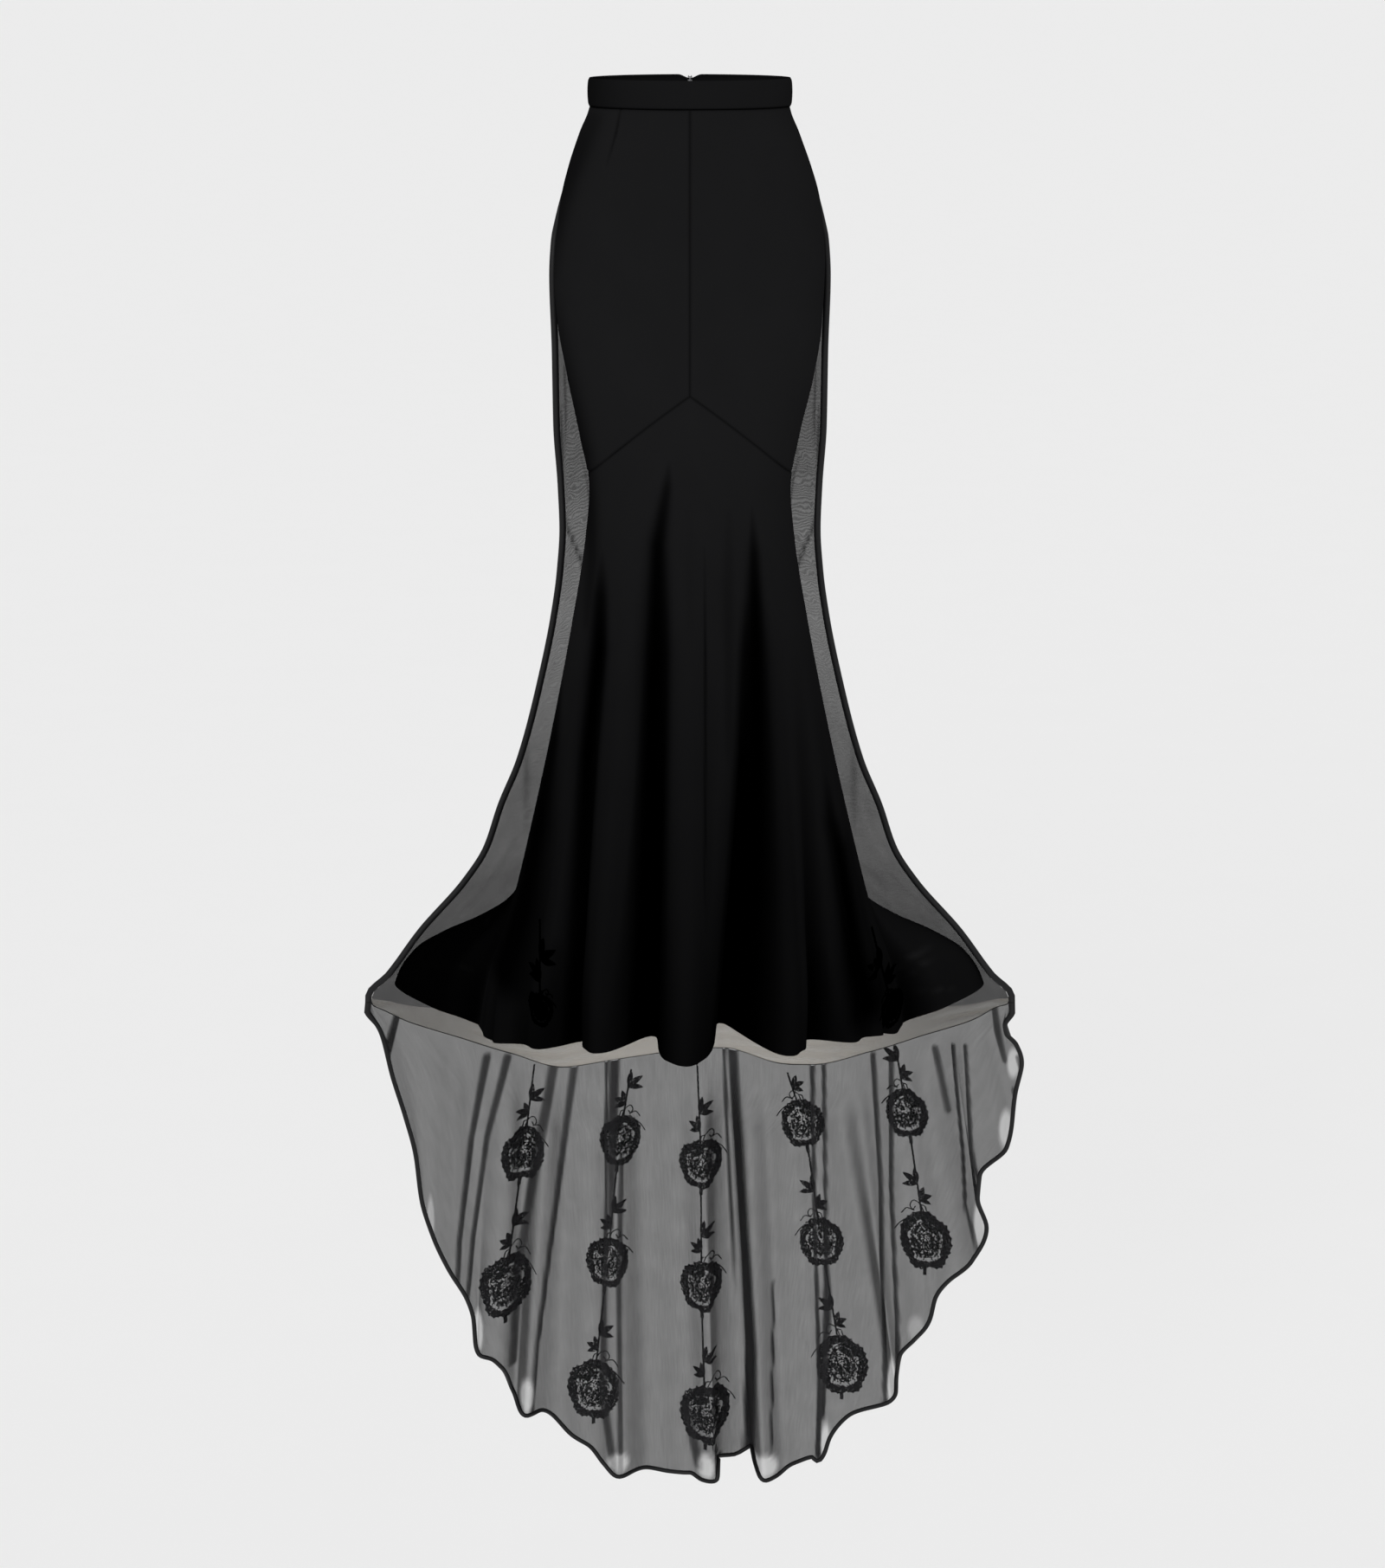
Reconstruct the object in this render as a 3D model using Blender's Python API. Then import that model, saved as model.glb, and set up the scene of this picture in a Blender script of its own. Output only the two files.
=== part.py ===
"""Mermaid fishtail skirt with a sheer train, trimmed with lace rose columns.

Metres, +Z up. The wearer faces -Y, so the wearer's left is at +X. The origin is the middle of the
waist opening, half way up the waistband, where the skirt is held.

The opaque skirt is one surface, skirt_surface(angle, down): angle is in degrees round the body,
0 at the centre front and 90 at the wearer's left, and down is the distance below the origin.
The net behind it is a second surface, net_surface(side, down): side runs from -1 at the wearer's
right edge, through 0 at the centre back, to 1 at the left edge. The train hangs from the net's
lower end: train_surface(side, fall), with fall 0 at its seam and 1 at its hem. Each sewn piece is
a patch of one of these surfaces, with a thickness.
"""

import math

import bmesh
import bpy
import numpy as np

SEAM_GAP = 0.0003
CREPE_WALL = 0.0015
NET_WALL = 0.0010
BAND_WALL = 0.0030
LACE_WALL = 0.0012
LACE_LIFT = 0.0004

BAND_HEIGHT = 0.0326
BAND_HALF_WIDTH = 0.1195
BAND_FRONT = 0.0870
BAND_BACK = 0.0860
BAND_BULGE = 0.0012
BAND_NOTCH = 0.0045
BAND_NOTCH_HALF_ANGLE = 7.0
WAIST_SEAM = BAND_HEIGHT / 2

CHEVRON_PEAK = 0.344
CHEVRON_FALL = 0.101
SIDE_SEAM_ANGLE = 92.0

BINDING_ACROSS = 0.0040
BINDING_THROUGH = 0.0026

CREPE_BLACK = (0.0090, 0.0090, 0.0095, 1.0)
NET_BLACK = (0.0120, 0.0120, 0.0130, 1.0)
NET_PALE = (0.3300, 0.3050, 0.2700, 1.0)
LACE_BLACK = (0.0040, 0.0040, 0.0042, 1.0)
ZIP_METAL = (0.1200, 0.1200, 0.1250, 1.0)


def table(columns, rows):
    """A small table as one array for each named column."""
    return dict(zip(columns.split(), np.array(rows, float).T))


# The opaque skirt: half width, depth in front of the side line and depth behind it.
BODY = table(
    "down half_width front back",
    (
        (0.000, 0.1165, 0.0850, 0.0840),
        (0.016, 0.1170, 0.0860, 0.0850),
        (0.047, 0.1283, 0.0920, 0.0960),
        (0.085, 0.1416, 0.0980, 0.1070),
        (0.120, 0.1510, 0.1020, 0.1150),
        (0.150, 0.1552, 0.1050, 0.1200),
        (0.205, 0.1590, 0.1070, 0.1230),
        (0.267, 0.1560, 0.1070, 0.1190),
        (0.329, 0.1462, 0.1050, 0.1090),
        (0.402, 0.1302, 0.1030, 0.0990),
        (0.465, 0.1196, 0.1040, 0.0970),
        (0.526, 0.1247, 0.1100, 0.1040),
        (0.619, 0.1397, 0.1310, 0.1220),
        (0.755, 0.1659, 0.1680, 0.1600),
        (0.851, 0.1870, 0.1960, 0.1900),
        (0.967, 0.2151, 0.2300, 0.2250),
        (1.053, 0.2400, 0.2560, 0.2500),
        (1.220, 0.2650, 0.2900, 0.2700),
    ),
)

# The hem of the opaque skirt all round: raised between the front folds, lower at the sides and
# lowest behind.
HEM = table(
    "angle down",
    (
        (-180, 1.205),
        (-140, 1.150),
        (-113, 1.110),
        (-100, 1.122),
        (-85, 1.131),
        (-60, 1.114),
        (-44, 1.103),
        (-24, 1.088),
        (-14, 1.091),
        (0, 1.096),
        (13, 1.082),
        (25, 1.092),
        (48, 1.100),
        (72, 1.114),
        (85, 1.128),
        (100, 1.121),
        (113, 1.110),
        (140, 1.150),
        (180, 1.205),
    ),
)

# Folds of the flounces: depth is a share of the distance from the middle, crests above 0.
FLOUNCE_FOLDS = table(
    "angle_top angle_hem half_angle depth start",
    (
        (-86, -76, 9.0, -0.030, 0.700),
        (-66, -58, 12.0, -0.055, 0.620),
        (-52, -38, 8.0, -0.160, 0.520),
        (-34, -25, 7.0, 0.090, 0.560),
        (-15, -14.5, 8.0, -0.300, 0.500),
        (0, -1.0, 8.0, 0.090, 0.560),
        (36, 14.5, 9.5, -0.400, 0.500),
        (46, 26.0, 7.0, 0.080, 0.560),
        (60, 42.0, 10.0, -0.150, 0.640),
        (74, 60.0, 9.0, -0.045, 0.700),
        (86, 76, 9.0, -0.030, 0.740),
        (128, 122, 9.0, -0.070, 0.600),
        (158, 150, 10.0, -0.110, 0.560),
        (-128, -122, 9.0, -0.070, 0.600),
        (-158, -150, 10.0, -0.110, 0.560),
        (180, 180, 8.0, 0.060, 0.560),
    ),
)

FRONT_COLUMNS = 50
BACK_COLUMNS = 22
FLOUNCE_ROWS = 12
# The lines of a flounce start to turn along its folds this far down.
FAN_START = 0.5

# The back sweep: how far it reaches past the flounce's cone, and how that grows towards the hem.
SWEEP_REACH = table(
    "angle reach",
    (
        (0, 0.00),
        (84, 0.00),
        (92, 0.03),
        (101, 0.28),
        (112, 0.58),
        (123, 0.50),
        (150, 0.36),
        (180, 0.33),
    ),
)
SWEEP_RISE = table(
    "down share",
    (
        (0.000, 0.00),
        (0.955, 0.00),
        (0.985, 0.12),
        (1.015, 0.38),
        (1.040, 0.68),
        (1.066, 0.90),
        (1.100, 1.00),
        (1.220, 1.06),
    ),
)

# The net: its half width and the depth of its front edge and of its centre back. Roundness 1 is
# an ellipse behind the edges, and larger values draw it out to a point at them. Hug is the share
# of its shape that it takes from the skirt it is sewn to, just below the waistband.
NET = table(
    "down half_width edge back roundness hug",
    (
        (0.000, 0.1080, 0.0430, 0.0930, 1.00, 1.00),
        (0.016, 0.1080, 0.0430, 0.0930, 1.00, 1.00),
        (0.047, 0.1180, 0.0500, 0.1050, 1.00, 0.45),
        (0.085, 0.1320, 0.0540, 0.1180, 1.00, 0.00),
        (0.120, 0.1430, 0.0500, 0.1270, 1.00, 0.00),
        (0.150, 0.1510, 0.0400, 0.1330, 1.00, 0.00),
        (0.175, 0.1560, 0.0300, 0.1360, 1.00, 0.00),
        (0.218, 0.1583, 0.0260, 0.1380, 1.00, 0.00),
        (0.305, 0.1560, 0.0300, 0.1420, 1.00, 0.00),
        (0.395, 0.1552, 0.0400, 0.1500, 1.00, 0.00),
        (0.468, 0.1508, 0.0500, 0.1560, 1.00, 0.00),
        (0.521, 0.1490, 0.0520, 0.1620, 1.00, 0.00),
        (0.575, 0.1528, 0.0600, 0.1700, 1.00, 0.00),
        (0.631, 0.1608, 0.0700, 0.1800, 1.02, 0.00),
        (0.712, 0.1776, 0.0800, 0.2000, 1.08, 0.00),
        (0.818, 0.2058, 0.1000, 0.2380, 1.18, 0.00),
        (0.875, 0.2290, 0.1100, 0.2660, 1.25, 0.00),
        (0.935, 0.2495, 0.1200, 0.3000, 1.32, 0.00),
        (0.978, 0.2770, 0.1250, 0.3280, 1.38, 0.00),
        (1.042, 0.3320, 0.1300, 0.3700, 1.48, 0.00),
        (1.100, 0.3740, 0.1350, 0.3980, 1.56, 0.00),
        (1.128, 0.3990, 0.1400, 0.4080, 1.60, 0.00),
        (1.300, 0.3990, 0.1400, 0.4260, 1.60, 0.00),
    ),
)
NET_SEWN_ANGLE = 62.0
NET_SEWN_LIFT = 0.0017

# How far down the net its rows of points are, closer together where it flares.
NET_ROWS = np.array(
    (0, 0.05, 0.11, 0.17, 0.25, 0.35, 0.46, 0.56, 0.65, 0.73, 0.80, 0.86, 0.91, 0.96, 1.0)
)

# Where the train is sewn on, and how deep the pale band above that seam is.
TRAIN_SEAM = table(
    "side down band",
    (
        (-1.00, 1.134, 0.006),
        (-0.85, 1.151, 0.012),
        (-0.70, 1.182, 0.022),
        (-0.55, 1.217, 0.034),
        (-0.40, 1.257, 0.044),
        (-0.26, 1.289, 0.052),
        (-0.14, 1.284, 0.054),
        (0.00, 1.275, 0.050),
        (0.07, 1.272, 0.048),
        (0.20, 1.289, 0.054),
        (0.26, 1.286, 0.052),
        (0.40, 1.255, 0.044),
        (0.55, 1.215, 0.034),
        (0.70, 1.180, 0.022),
        (0.85, 1.147, 0.010),
        (1.00, 1.134, 0.006),
    ),
)

# The train's hem: its place across and how far down, at each side share. It dips at each fold.
TRAIN_HEM = table(
    "side across down",
    (
        (-1.000, -0.401, 1.146),
        (-0.949, -0.386, 1.174),
        (-0.877, -0.373, 1.238),
        (-0.816, -0.360, 1.295),
        (-0.754, -0.349, 1.357),
        (-0.687, -0.344, 1.423),
        (-0.631, -0.332, 1.476),
        (-0.573, -0.314, 1.533),
        (-0.516, -0.291, 1.590),
        (-0.487, -0.284, 1.622),
        (-0.449, -0.282, 1.659),
        (-0.431, -0.278, 1.671),
        (-0.411, -0.263, 1.677),
        (-0.388, -0.247, 1.699),
        (-0.354, -0.236, 1.742),
        (-0.305, -0.218, 1.773),
        (-0.290, -0.205, 1.772),
        (-0.243, -0.158, 1.819),
        (-0.221, -0.136, 1.833),
        (-0.193, -0.115, 1.859),
        (-0.165, -0.096, 1.875),
        (-0.143, -0.080, 1.873),
        (-0.074, -0.028, 1.883),
        (-0.039, -0.001, 1.883),
        (-0.012, 0.017, 1.890),
        (0.020, 0.034, 1.886),
        (0.042, 0.036, 1.862),
        (0.058, 0.060, 1.867),
        (0.075, 0.084, 1.854),
        (0.096, 0.091, 1.868),
        (0.127, 0.103, 1.882),
        (0.143, 0.116, 1.879),
        (0.173, 0.142, 1.860),
        (0.193, 0.166, 1.848),
        (0.202, 0.172, 1.853),
        (0.212, 0.178, 1.845),
        (0.232, 0.186, 1.821),
        (0.264, 0.214, 1.783),
        (0.310, 0.266, 1.752),
        (0.329, 0.273, 1.743),
        (0.354, 0.274, 1.724),
        (0.385, 0.277, 1.686),
        (0.415, 0.295, 1.655),
        (0.455, 0.314, 1.620),
        (0.484, 0.321, 1.588),
        (0.512, 0.338, 1.555),
        (0.550, 0.366, 1.523),
        (0.600, 0.384, 1.480),
        (0.635, 0.370, 1.430),
        (0.657, 0.371, 1.394),
        (0.700, 0.403, 1.348),
        (0.732, 0.408, 1.320),
        (0.784, 0.411, 1.271),
        (0.830, 0.417, 1.226),
        (0.881, 0.409, 1.197),
        (0.917, 0.396, 1.181),
        (0.958, 0.393, 1.165),
        (1.000, 0.400, 1.147),
    ),
)
TRAIN_LEAN = 0.070
TRAIN_TOP_GAP = 0.0006
TRAIN_ROWS = 11
# A fold of the train is flat at the seam, is settled this share of the way down, has this share of
# its depth there, and has all of it only where the train hangs at least this far.
FOLD_SETTLED = 0.18
FOLD_FIRST_DEPTH = 0.55
FOLD_FULL_DROP = 0.25
FOLD_FAN = 60.0
COLUMN_GAP = 0.070
CORNER_GAP = 0.0012

# Folds of the train: depth in metres, towards the wearer above 0.
TRAIN_FOLDS = table(
    "side half_width depth",
    (
        (-0.900, 0.090, 0.010),
        (-0.760, 0.090, -0.010),
        (-0.620, 0.080, 0.010),
        (-0.500, 0.060, -0.010),
        (-0.410, 0.055, 0.022),
        (-0.355, 0.045, -0.012),
        (-0.305, 0.045, 0.020),
        (-0.265, 0.045, -0.014),
        (-0.165, 0.055, 0.022),
        (-0.100, 0.060, -0.012),
        (0.016, 0.055, 0.022),
        (0.065, 0.045, -0.034),
        (0.120, 0.045, 0.026),
        (0.200, 0.050, 0.012),
        (0.310, 0.055, 0.020),
        (0.350, 0.045, -0.016),
        (0.440, 0.055, 0.014),
        (0.530, 0.050, 0.018),
        (0.610, 0.050, -0.018),
        (0.700, 0.060, 0.018),
        (0.780, 0.050, -0.012),
        (0.860, 0.060, 0.018),
        (0.930, 0.045, -0.012),
    ),
)

# The lace roses, column by column from the wearer's right: centre, half width and half height.
ROSES = table(
    "column across down half_width half_height",
    (
        (1, -0.220, 1.402, 0.0272, 0.0382),
        (1, -0.245, 1.582, 0.0332, 0.0449),
        (2, -0.093, 1.397, 0.0269, 0.0355),
        (2, -0.111, 1.568, 0.0282, 0.0367),
        (2, -0.131, 1.753, 0.0348, 0.0443),
        (3, 0.014, 1.434, 0.0289, 0.0357),
        (3, 0.015, 1.609, 0.0280, 0.0376),
        (3, 0.020, 1.796, 0.0340, 0.0440),
        (4, 0.149, 1.370, 0.0283, 0.0341),
        (4, 0.175, 1.537, 0.0289, 0.0358),
        (4, 0.204, 1.713, 0.0340, 0.0444),
        (5, 0.282, 1.331, 0.0263, 0.0352),
        (5, 0.309, 1.508, 0.0324, 0.0428),
    ),
)
# Each column's stem from its top, and the side of its upper leaves.
STEMS = table(
    "column across down leaf_side",
    (
        (1, -0.204, 1.278, 1),
        (2, -0.078, 1.300, 1),
        (3, 0.009, 1.288, 1),
        (4, 0.128, 1.300, -1),
        (5, 0.268, 1.250, -1),
    ),
)
STEM_HALF_WIDTH = 0.0014
STUB_LENGTH = 0.0080
UPPER_LEAF_ABOVE = 0.0450
LOWER_LEAF_ABOVE = 0.0180
LEAF_REACH = 0.0165
LEAF_HALF_HEIGHT = 0.0085
# A rose's outline from top to bottom and its two open petals, as shares of its half sizes.
ROSE_OUTLINE = table(
    "down left right",
    (
        (-0.96, 0.30, 0.34),
        (-0.70, 0.78, 0.84),
        (-0.30, 1.00, 0.98),
        (0.02, 0.92, 0.86),
        (0.30, 0.96, 0.90),
        (0.66, 0.76, 0.68),
        (0.95, 0.34, 0.30),
    ),
)
ROSE_OPENING = table(
    "across down",
    (
        (0.52, -0.42),
        (0.72, -0.16),
        (0.66, 0.20),
        (0.44, 0.46),
        (0.50, 0.16),
        (0.54, -0.14),
    ),
)
LACE_REACH = 0.6

ZIP_BOTTOM = 0.205
ZIP_HALF_WIDTH = 0.007
ZIP_WALL = 0.0010
ZIP_DEPTH = 0.0028
SLIDER_HALF_WIDTH = 0.0025
SLIDER_INSIDE = 0.0805
SLIDER_OUTSIDE = 0.0834
SLIDER_LOW = 0.0020
SLIDER_HIGH = 0.0100
NECK_HALF_WIDTH = 0.0007
NECK_INSIDE = 0.0815
BRIDGE_LOW = 0.0122
BRIDGE_HIGH = 0.0134
HINGE_Y = 0.0892
HINGE_Z = 0.0128
HINGE_RADIUS = 0.0006
HINGE_HALF_LENGTH = 0.0026
EYE_CLEARANCE = 0.0003
EYE_WALL = 0.0007
ARM_START = 0.0012
PULL_HALF_WIDTH = 0.0022
PULL_HALF_THICKNESS = 0.0005
PULL_LENGTH = 0.0200


def along(rows, key, column, at):
    """The column's value at each place along the key, by a cubic that never overshoots its rows."""
    x, y = rows[key], rows[column]
    at = np.clip(at, x[0], x[-1])
    step = np.diff(x)
    slope = np.diff(y) / step
    tangent = np.zeros(len(x))
    tangent[0], tangent[-1] = slope[0], slope[-1]
    for i in range(1, len(x) - 1):
        if slope[i - 1] * slope[i] > 0:
            near = 2 * step[i] + step[i - 1]
            far = step[i] + 2 * step[i - 1]
            tangent[i] = (near + far) / (near / slope[i - 1] + far / slope[i])
    i = np.clip(np.searchsorted(x, at, side="right") - 1, 0, len(x) - 2)
    t = (at - x[i]) / step[i]
    rise = step[i] * ((t**3 - 2 * t**2 + t) * tangent[i] + (t**3 - t**2) * tangent[i + 1])
    return (2 * t**3 - 3 * t**2 + 1) * y[i] + (3 * t**2 - 2 * t**3) * y[i + 1] + rise


def bump(distance, half_width):
    """A smooth bump, 1 at distance 0 and 0 past the half width."""
    share = np.clip(np.abs(distance) / half_width, 0, 1)
    return (1 + np.cos(math.pi * share)) / 2


def hem_down(angle):
    return along(HEM, "angle", "down", angle)


def chevron_down(angle):
    """The seam between the upper panels and the flounces, highest at the centre front and back."""
    return CHEVRON_PEAK + CHEVRON_FALL * np.abs(np.sin(np.radians(angle)))


def skirt_surface(angle, down):
    """The opaque skirt's outer surface."""
    hem = hem_down(angle)
    reach = np.ones_like(angle)
    for top, low, half, depth, start in zip(*FLOUNCE_FOLDS.values()):
        grown = np.clip((down - start) / (hem - start), 0, 1.1)
        centre = top + (low - top) * grown
        reach = reach + depth * grown**1.1 * bump(angle - centre, half)
    rise = along(SWEEP_RISE, "down", "share", down)
    reach = reach + rise * along(SWEEP_REACH, "angle", "reach", np.abs(angle))
    turn = np.radians(angle)
    half_width = along(BODY, "down", "half_width", down) * reach
    front = along(BODY, "down", "front", down) * reach
    back = along(BODY, "down", "back", down) * reach
    y = -np.cos(turn) * np.where(np.cos(turn) > 0, front, back)
    return np.stack([half_width * np.sin(turn), y, -down], axis=-1)


def band_surface(angle, down):
    """The waistband's outer surface, slightly bulged."""
    swell = BAND_BULGE * (1 - (2 * down / BAND_HEIGHT) ** 2)
    turn = np.radians(angle)
    depth = np.where(np.cos(turn) > 0, BAND_FRONT, BAND_BACK) + swell
    across = BAND_HALF_WIDTH - BAND_BULGE + swell
    return np.stack([across * np.sin(turn), -np.cos(turn) * depth, -down], axis=-1)


def net_surface(side, down):
    """The net's outer surface, round the back from edge to edge."""
    turn = np.radians(90 * side)
    half_width = along(NET, "down", "half_width", down)
    edge = along(NET, "down", "edge", down)
    back = along(NET, "down", "back", down)
    roundness = along(NET, "down", "roundness", down)
    behind = (back - edge) * np.clip(np.cos(turn), 0, 1) ** roundness
    free = np.stack([half_width * np.sin(turn), edge + behind, -down], axis=-1)
    turn = np.radians(NET_SEWN_ANGLE * side)
    across = along(BODY, "down", "half_width", down) + NET_SEWN_LIFT
    depth = along(BODY, "down", "back", down) + NET_SEWN_LIFT
    sewn = np.stack([across * np.sin(turn), depth * np.cos(turn), -down], axis=-1)
    hug = along(NET, "down", "hug", down)[..., None]
    return free * (1 - hug) + sewn * hug


def seam_down(side):
    return along(TRAIN_SEAM, "side", "down", side)


def train_surface(side, fall):
    """The train's outer surface, hanging from the net's lower seam. Its hem's place across and down
    is where the hem's table puts it, folds and all."""
    top = net_surface(side, seam_down(side) + TRAIN_TOP_GAP)
    hem_z = -along(TRAIN_HEM, "side", "down", side)
    drop = np.clip((top[..., 2] - hem_z) / FOLD_FULL_DROP, 0, 1)
    wave = np.zeros_like(side)
    for centre, half, depth in zip(*TRAIN_FOLDS.values()):
        wave = wave + depth * bump(side - centre, half)
    turn = np.radians(FOLD_FAN * side)
    shift = -wave * drop
    hem_x = along(TRAIN_HEM, "side", "across", side) - shift * np.sin(turn)
    hem_y = top[..., 1] + TRAIN_LEAN * (top[..., 2] - hem_z)
    hem = np.stack([hem_x, hem_y, hem_z], axis=-1)
    place = top + (hem - top) * fall[..., None]
    settle = np.clip(fall / FOLD_SETTLED, 0, 1) ** 1.5
    settle = settle * (FOLD_FIRST_DEPTH + (1 - FOLD_FIRST_DEPTH) * fall)
    place[..., 0] += shift * settle * np.sin(turn)
    place[..., 1] += shift * settle * np.cos(turn)
    return place


def normals(surface, u, v, outward):
    """Unit normals of a surface, on the side that outward gives as a sign."""
    small = 1e-4
    span_u = 90 * small if surface in (skirt_surface, band_surface) else small
    along_u = surface(u + span_u, v) - surface(u - span_u, v)
    along_v = surface(u, v + small) - surface(u, v - small)
    normal = np.cross(along_v, along_u) * outward
    return normal / np.linalg.norm(normal, axis=-1, keepdims=True)


def mesh_object(name, points, faces, material):
    mesh = bpy.data.meshes.new(name)
    mesh.from_pydata([tuple(p) for p in points], [], faces)
    mesh.materials.append(material)
    mesh.shade_smooth()
    mesh.set_sharp_from_angle(angle=math.radians(50))
    mesh.validate()
    part = bpy.data.objects.new(name, mesh)
    parts.objects.link(part)
    return part


def wall_between(name, outer, inner, material):
    """A closed wall from two grids of points. Seen from outside, the outer grid's rows go down and
    its columns go right."""
    rows, columns = outer.shape[:2]
    count = rows * columns
    faces = []
    for r in range(rows - 1):
        for c in range(columns - 1):
            a = r * columns + c
            for b, d in ((a + columns, a + columns + 1), (a + columns + 1, a + 1)):
                faces.append((a, b, d))
                faces.append((count + a, count + d, count + b))
    top = [c for c in range(columns)]
    right = [r * columns + columns - 1 for r in range(rows)]
    bottom = [(rows - 1) * columns + c for c in reversed(range(columns))]
    left = [r * columns for r in reversed(range(rows))]
    ring = top + right[1:] + bottom[1:] + left[1:]
    for a, b in zip(ring, ring[1:]):
        faces.append((a, b, count + b, count + a))
    points = np.concatenate([outer.reshape(-1, 3), inner.reshape(-1, 3)])
    return mesh_object(name, points, faces, material)


def wall(name, surface, u, v, thickness, material, outward=1, lift=0.0):
    """A patch of a surface with a thickness. Its outer face is lifted off the surface by lift."""
    out = normals(surface, u, v, outward)
    outer = surface(u, v) + out * lift
    inner = outer - out * thickness
    if outward < 0:
        outer, inner = outer[:, ::-1], inner[:, ::-1]
    return wall_between(name, outer, inner, material)


def grid(columns, top, bottom, rows):
    """Column values and, for each, rows spaced evenly from top to bottom."""
    share = np.linspace(0, 1, rows)[:, None]
    u = np.broadcast_to(columns, (rows, len(columns))).copy()
    return u, top * (1 - share) + bottom * share


def rouleau(name, path, across, through, material, sides=6):
    """A soft round binding: an oval section carried along a path."""
    turns = 2 * math.pi * np.arange(sides) / sides
    oval = BINDING_ACROSS * np.cos(turns)[:, None, None] * across
    oval = oval + BINDING_THROUGH * np.sin(turns)[:, None, None] * through
    rings = (path[None] + oval).transpose(1, 0, 2)
    count = len(path)
    faces = [tuple(reversed(range(sides))), tuple((count - 1) * sides + k for k in range(sides))]
    for i in range(count - 1):
        for k in range(sides):
            a, b = i * sides + k, i * sides + (k + 1) % sides
            faces.append((a, b, b + sides, a + sides))
    return mesh_object(name, rings.reshape(-1, 3), faces, material)


def cloth(name, colour, roughness, metallic=0.0):
    material = bpy.data.materials.new(name)
    material.use_nodes = True
    shader = material.node_tree.nodes["Principled BSDF"]
    shader.inputs["Base Color"].default_value = colour
    shader.inputs["Roughness"].default_value = roughness
    shader.inputs["Metallic"].default_value = metallic
    return material


def unit(vectors):
    return vectors / np.linalg.norm(vectors, axis=-1, keepdims=True)


def runs(path):
    """Which way a path runs at each of its points, and the cosine of half the angle it turns by."""
    leg = unit(np.diff(path, axis=0))
    both = np.concatenate([leg[:1], leg]) + np.concatenate([leg, leg[-1:]])
    return unit(both), np.linalg.norm(both, axis=-1, keepdims=True) / 2


def make_waistband(crepe):
    """One strip round the waist, its ends meeting over the zip with a small V between them."""
    end = 180 - math.degrees(SEAM_GAP / 2 / BAND_BACK)
    near = 180 - BAND_NOTCH_HALF_ANGLE
    columns = np.concatenate([np.linspace(-end, -near, 4)[:-1], np.linspace(-near, near, 29)])
    columns = np.concatenate([columns, np.linspace(near, end, 4)[1:]])
    dip = BAND_NOTCH * bump(180 - np.abs(columns), BAND_NOTCH_HALF_ANGLE)
    u, v = grid(columns, dip - BAND_HEIGHT / 2, BAND_HEIGHT / 2 - SEAM_GAP, 3)
    wall("waistband", band_surface, u, v, BAND_WALL, crepe)


def make_upper_panels(crepe):
    half_gap = math.degrees(SEAM_GAP / 2 / BODY["front"][1])
    side = SIDE_SEAM_ANGLE
    spans = (
        ("front_left", half_gap, side - half_gap),
        ("front_right", half_gap - side, -half_gap),
        ("back_left", side + half_gap, 180 - half_gap),
        ("back_right", half_gap - 180, -side - half_gap),
    )
    for name, start, stop in spans:
        columns = np.linspace(start, stop, 12)
        bottom = chevron_down(columns) - SEAM_GAP / 2
        u, v = grid(columns, WAIST_SEAM, bottom, 10)
        wall(name, skirt_surface, u, v, CREPE_WALL, crepe)


def fold_origin(hem_angle):
    """The angle that each line of a flounce has at its top, so that the lines run along the folds."""
    inside = np.abs(FLOUNCE_FOLDS["angle_hem"]) < SIDE_SEAM_ANGLE
    low, high = (FLOUNCE_FOLDS[key][inside] for key in ("angle_hem", "angle_top"))
    fixed = np.array((-180, -SIDE_SEAM_ANGLE, SIDE_SEAM_ANGLE, 180))
    low, high = (np.sort(np.concatenate([fixed, angles])) for angles in (low, high))
    return np.interp(hem_angle, low, high)


def make_flounces(crepe):
    half_gap = math.degrees(SEAM_GAP / 2 / BODY["front"][1])
    side = SIDE_SEAM_ANGLE
    peak_fold = FLOUNCE_FOLDS["angle_hem"][np.abs(FLOUNCE_FOLDS["angle_top"]).argmin()]
    front = np.append(
        np.linspace(half_gap - side, peak_fold, FRONT_COLUMNS // 2)[:-1],
        np.linspace(peak_fold, side - half_gap, FRONT_COLUMNS // 2),
    )
    spans = (
        ("front_flounce", front),
        ("back_flounce_left", np.linspace(side + half_gap, 180 - half_gap, BACK_COLUMNS)),
        ("back_flounce_right", np.linspace(half_gap - 180, -side - half_gap, BACK_COLUMNS)),
    )
    for name, hem_angle in spans:
        top_angle = fold_origin(hem_angle)
        rows = np.linspace(0, 1, FLOUNCE_ROWS)[:, None]
        top = chevron_down(top_angle) + SEAM_GAP / 2
        down = top * (1 - rows) + hem_down(hem_angle) * rows
        grown = np.clip((down - FAN_START) / (hem_down(hem_angle) - FAN_START), 0, 1)
        angle = top_angle * (1 - grown) + hem_angle * grown
        wall(name, skirt_surface, angle, down, CREPE_WALL, crepe)


def train_columns():
    """A column at each row of the hem, and one more in each wide gap between them."""
    sides = TRAIN_HEM["side"]
    middles = (sides[1:] + sides[:-1]) / 2
    return np.sort(np.concatenate([sides, middles[np.diff(sides) > COLUMN_GAP]]))


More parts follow.
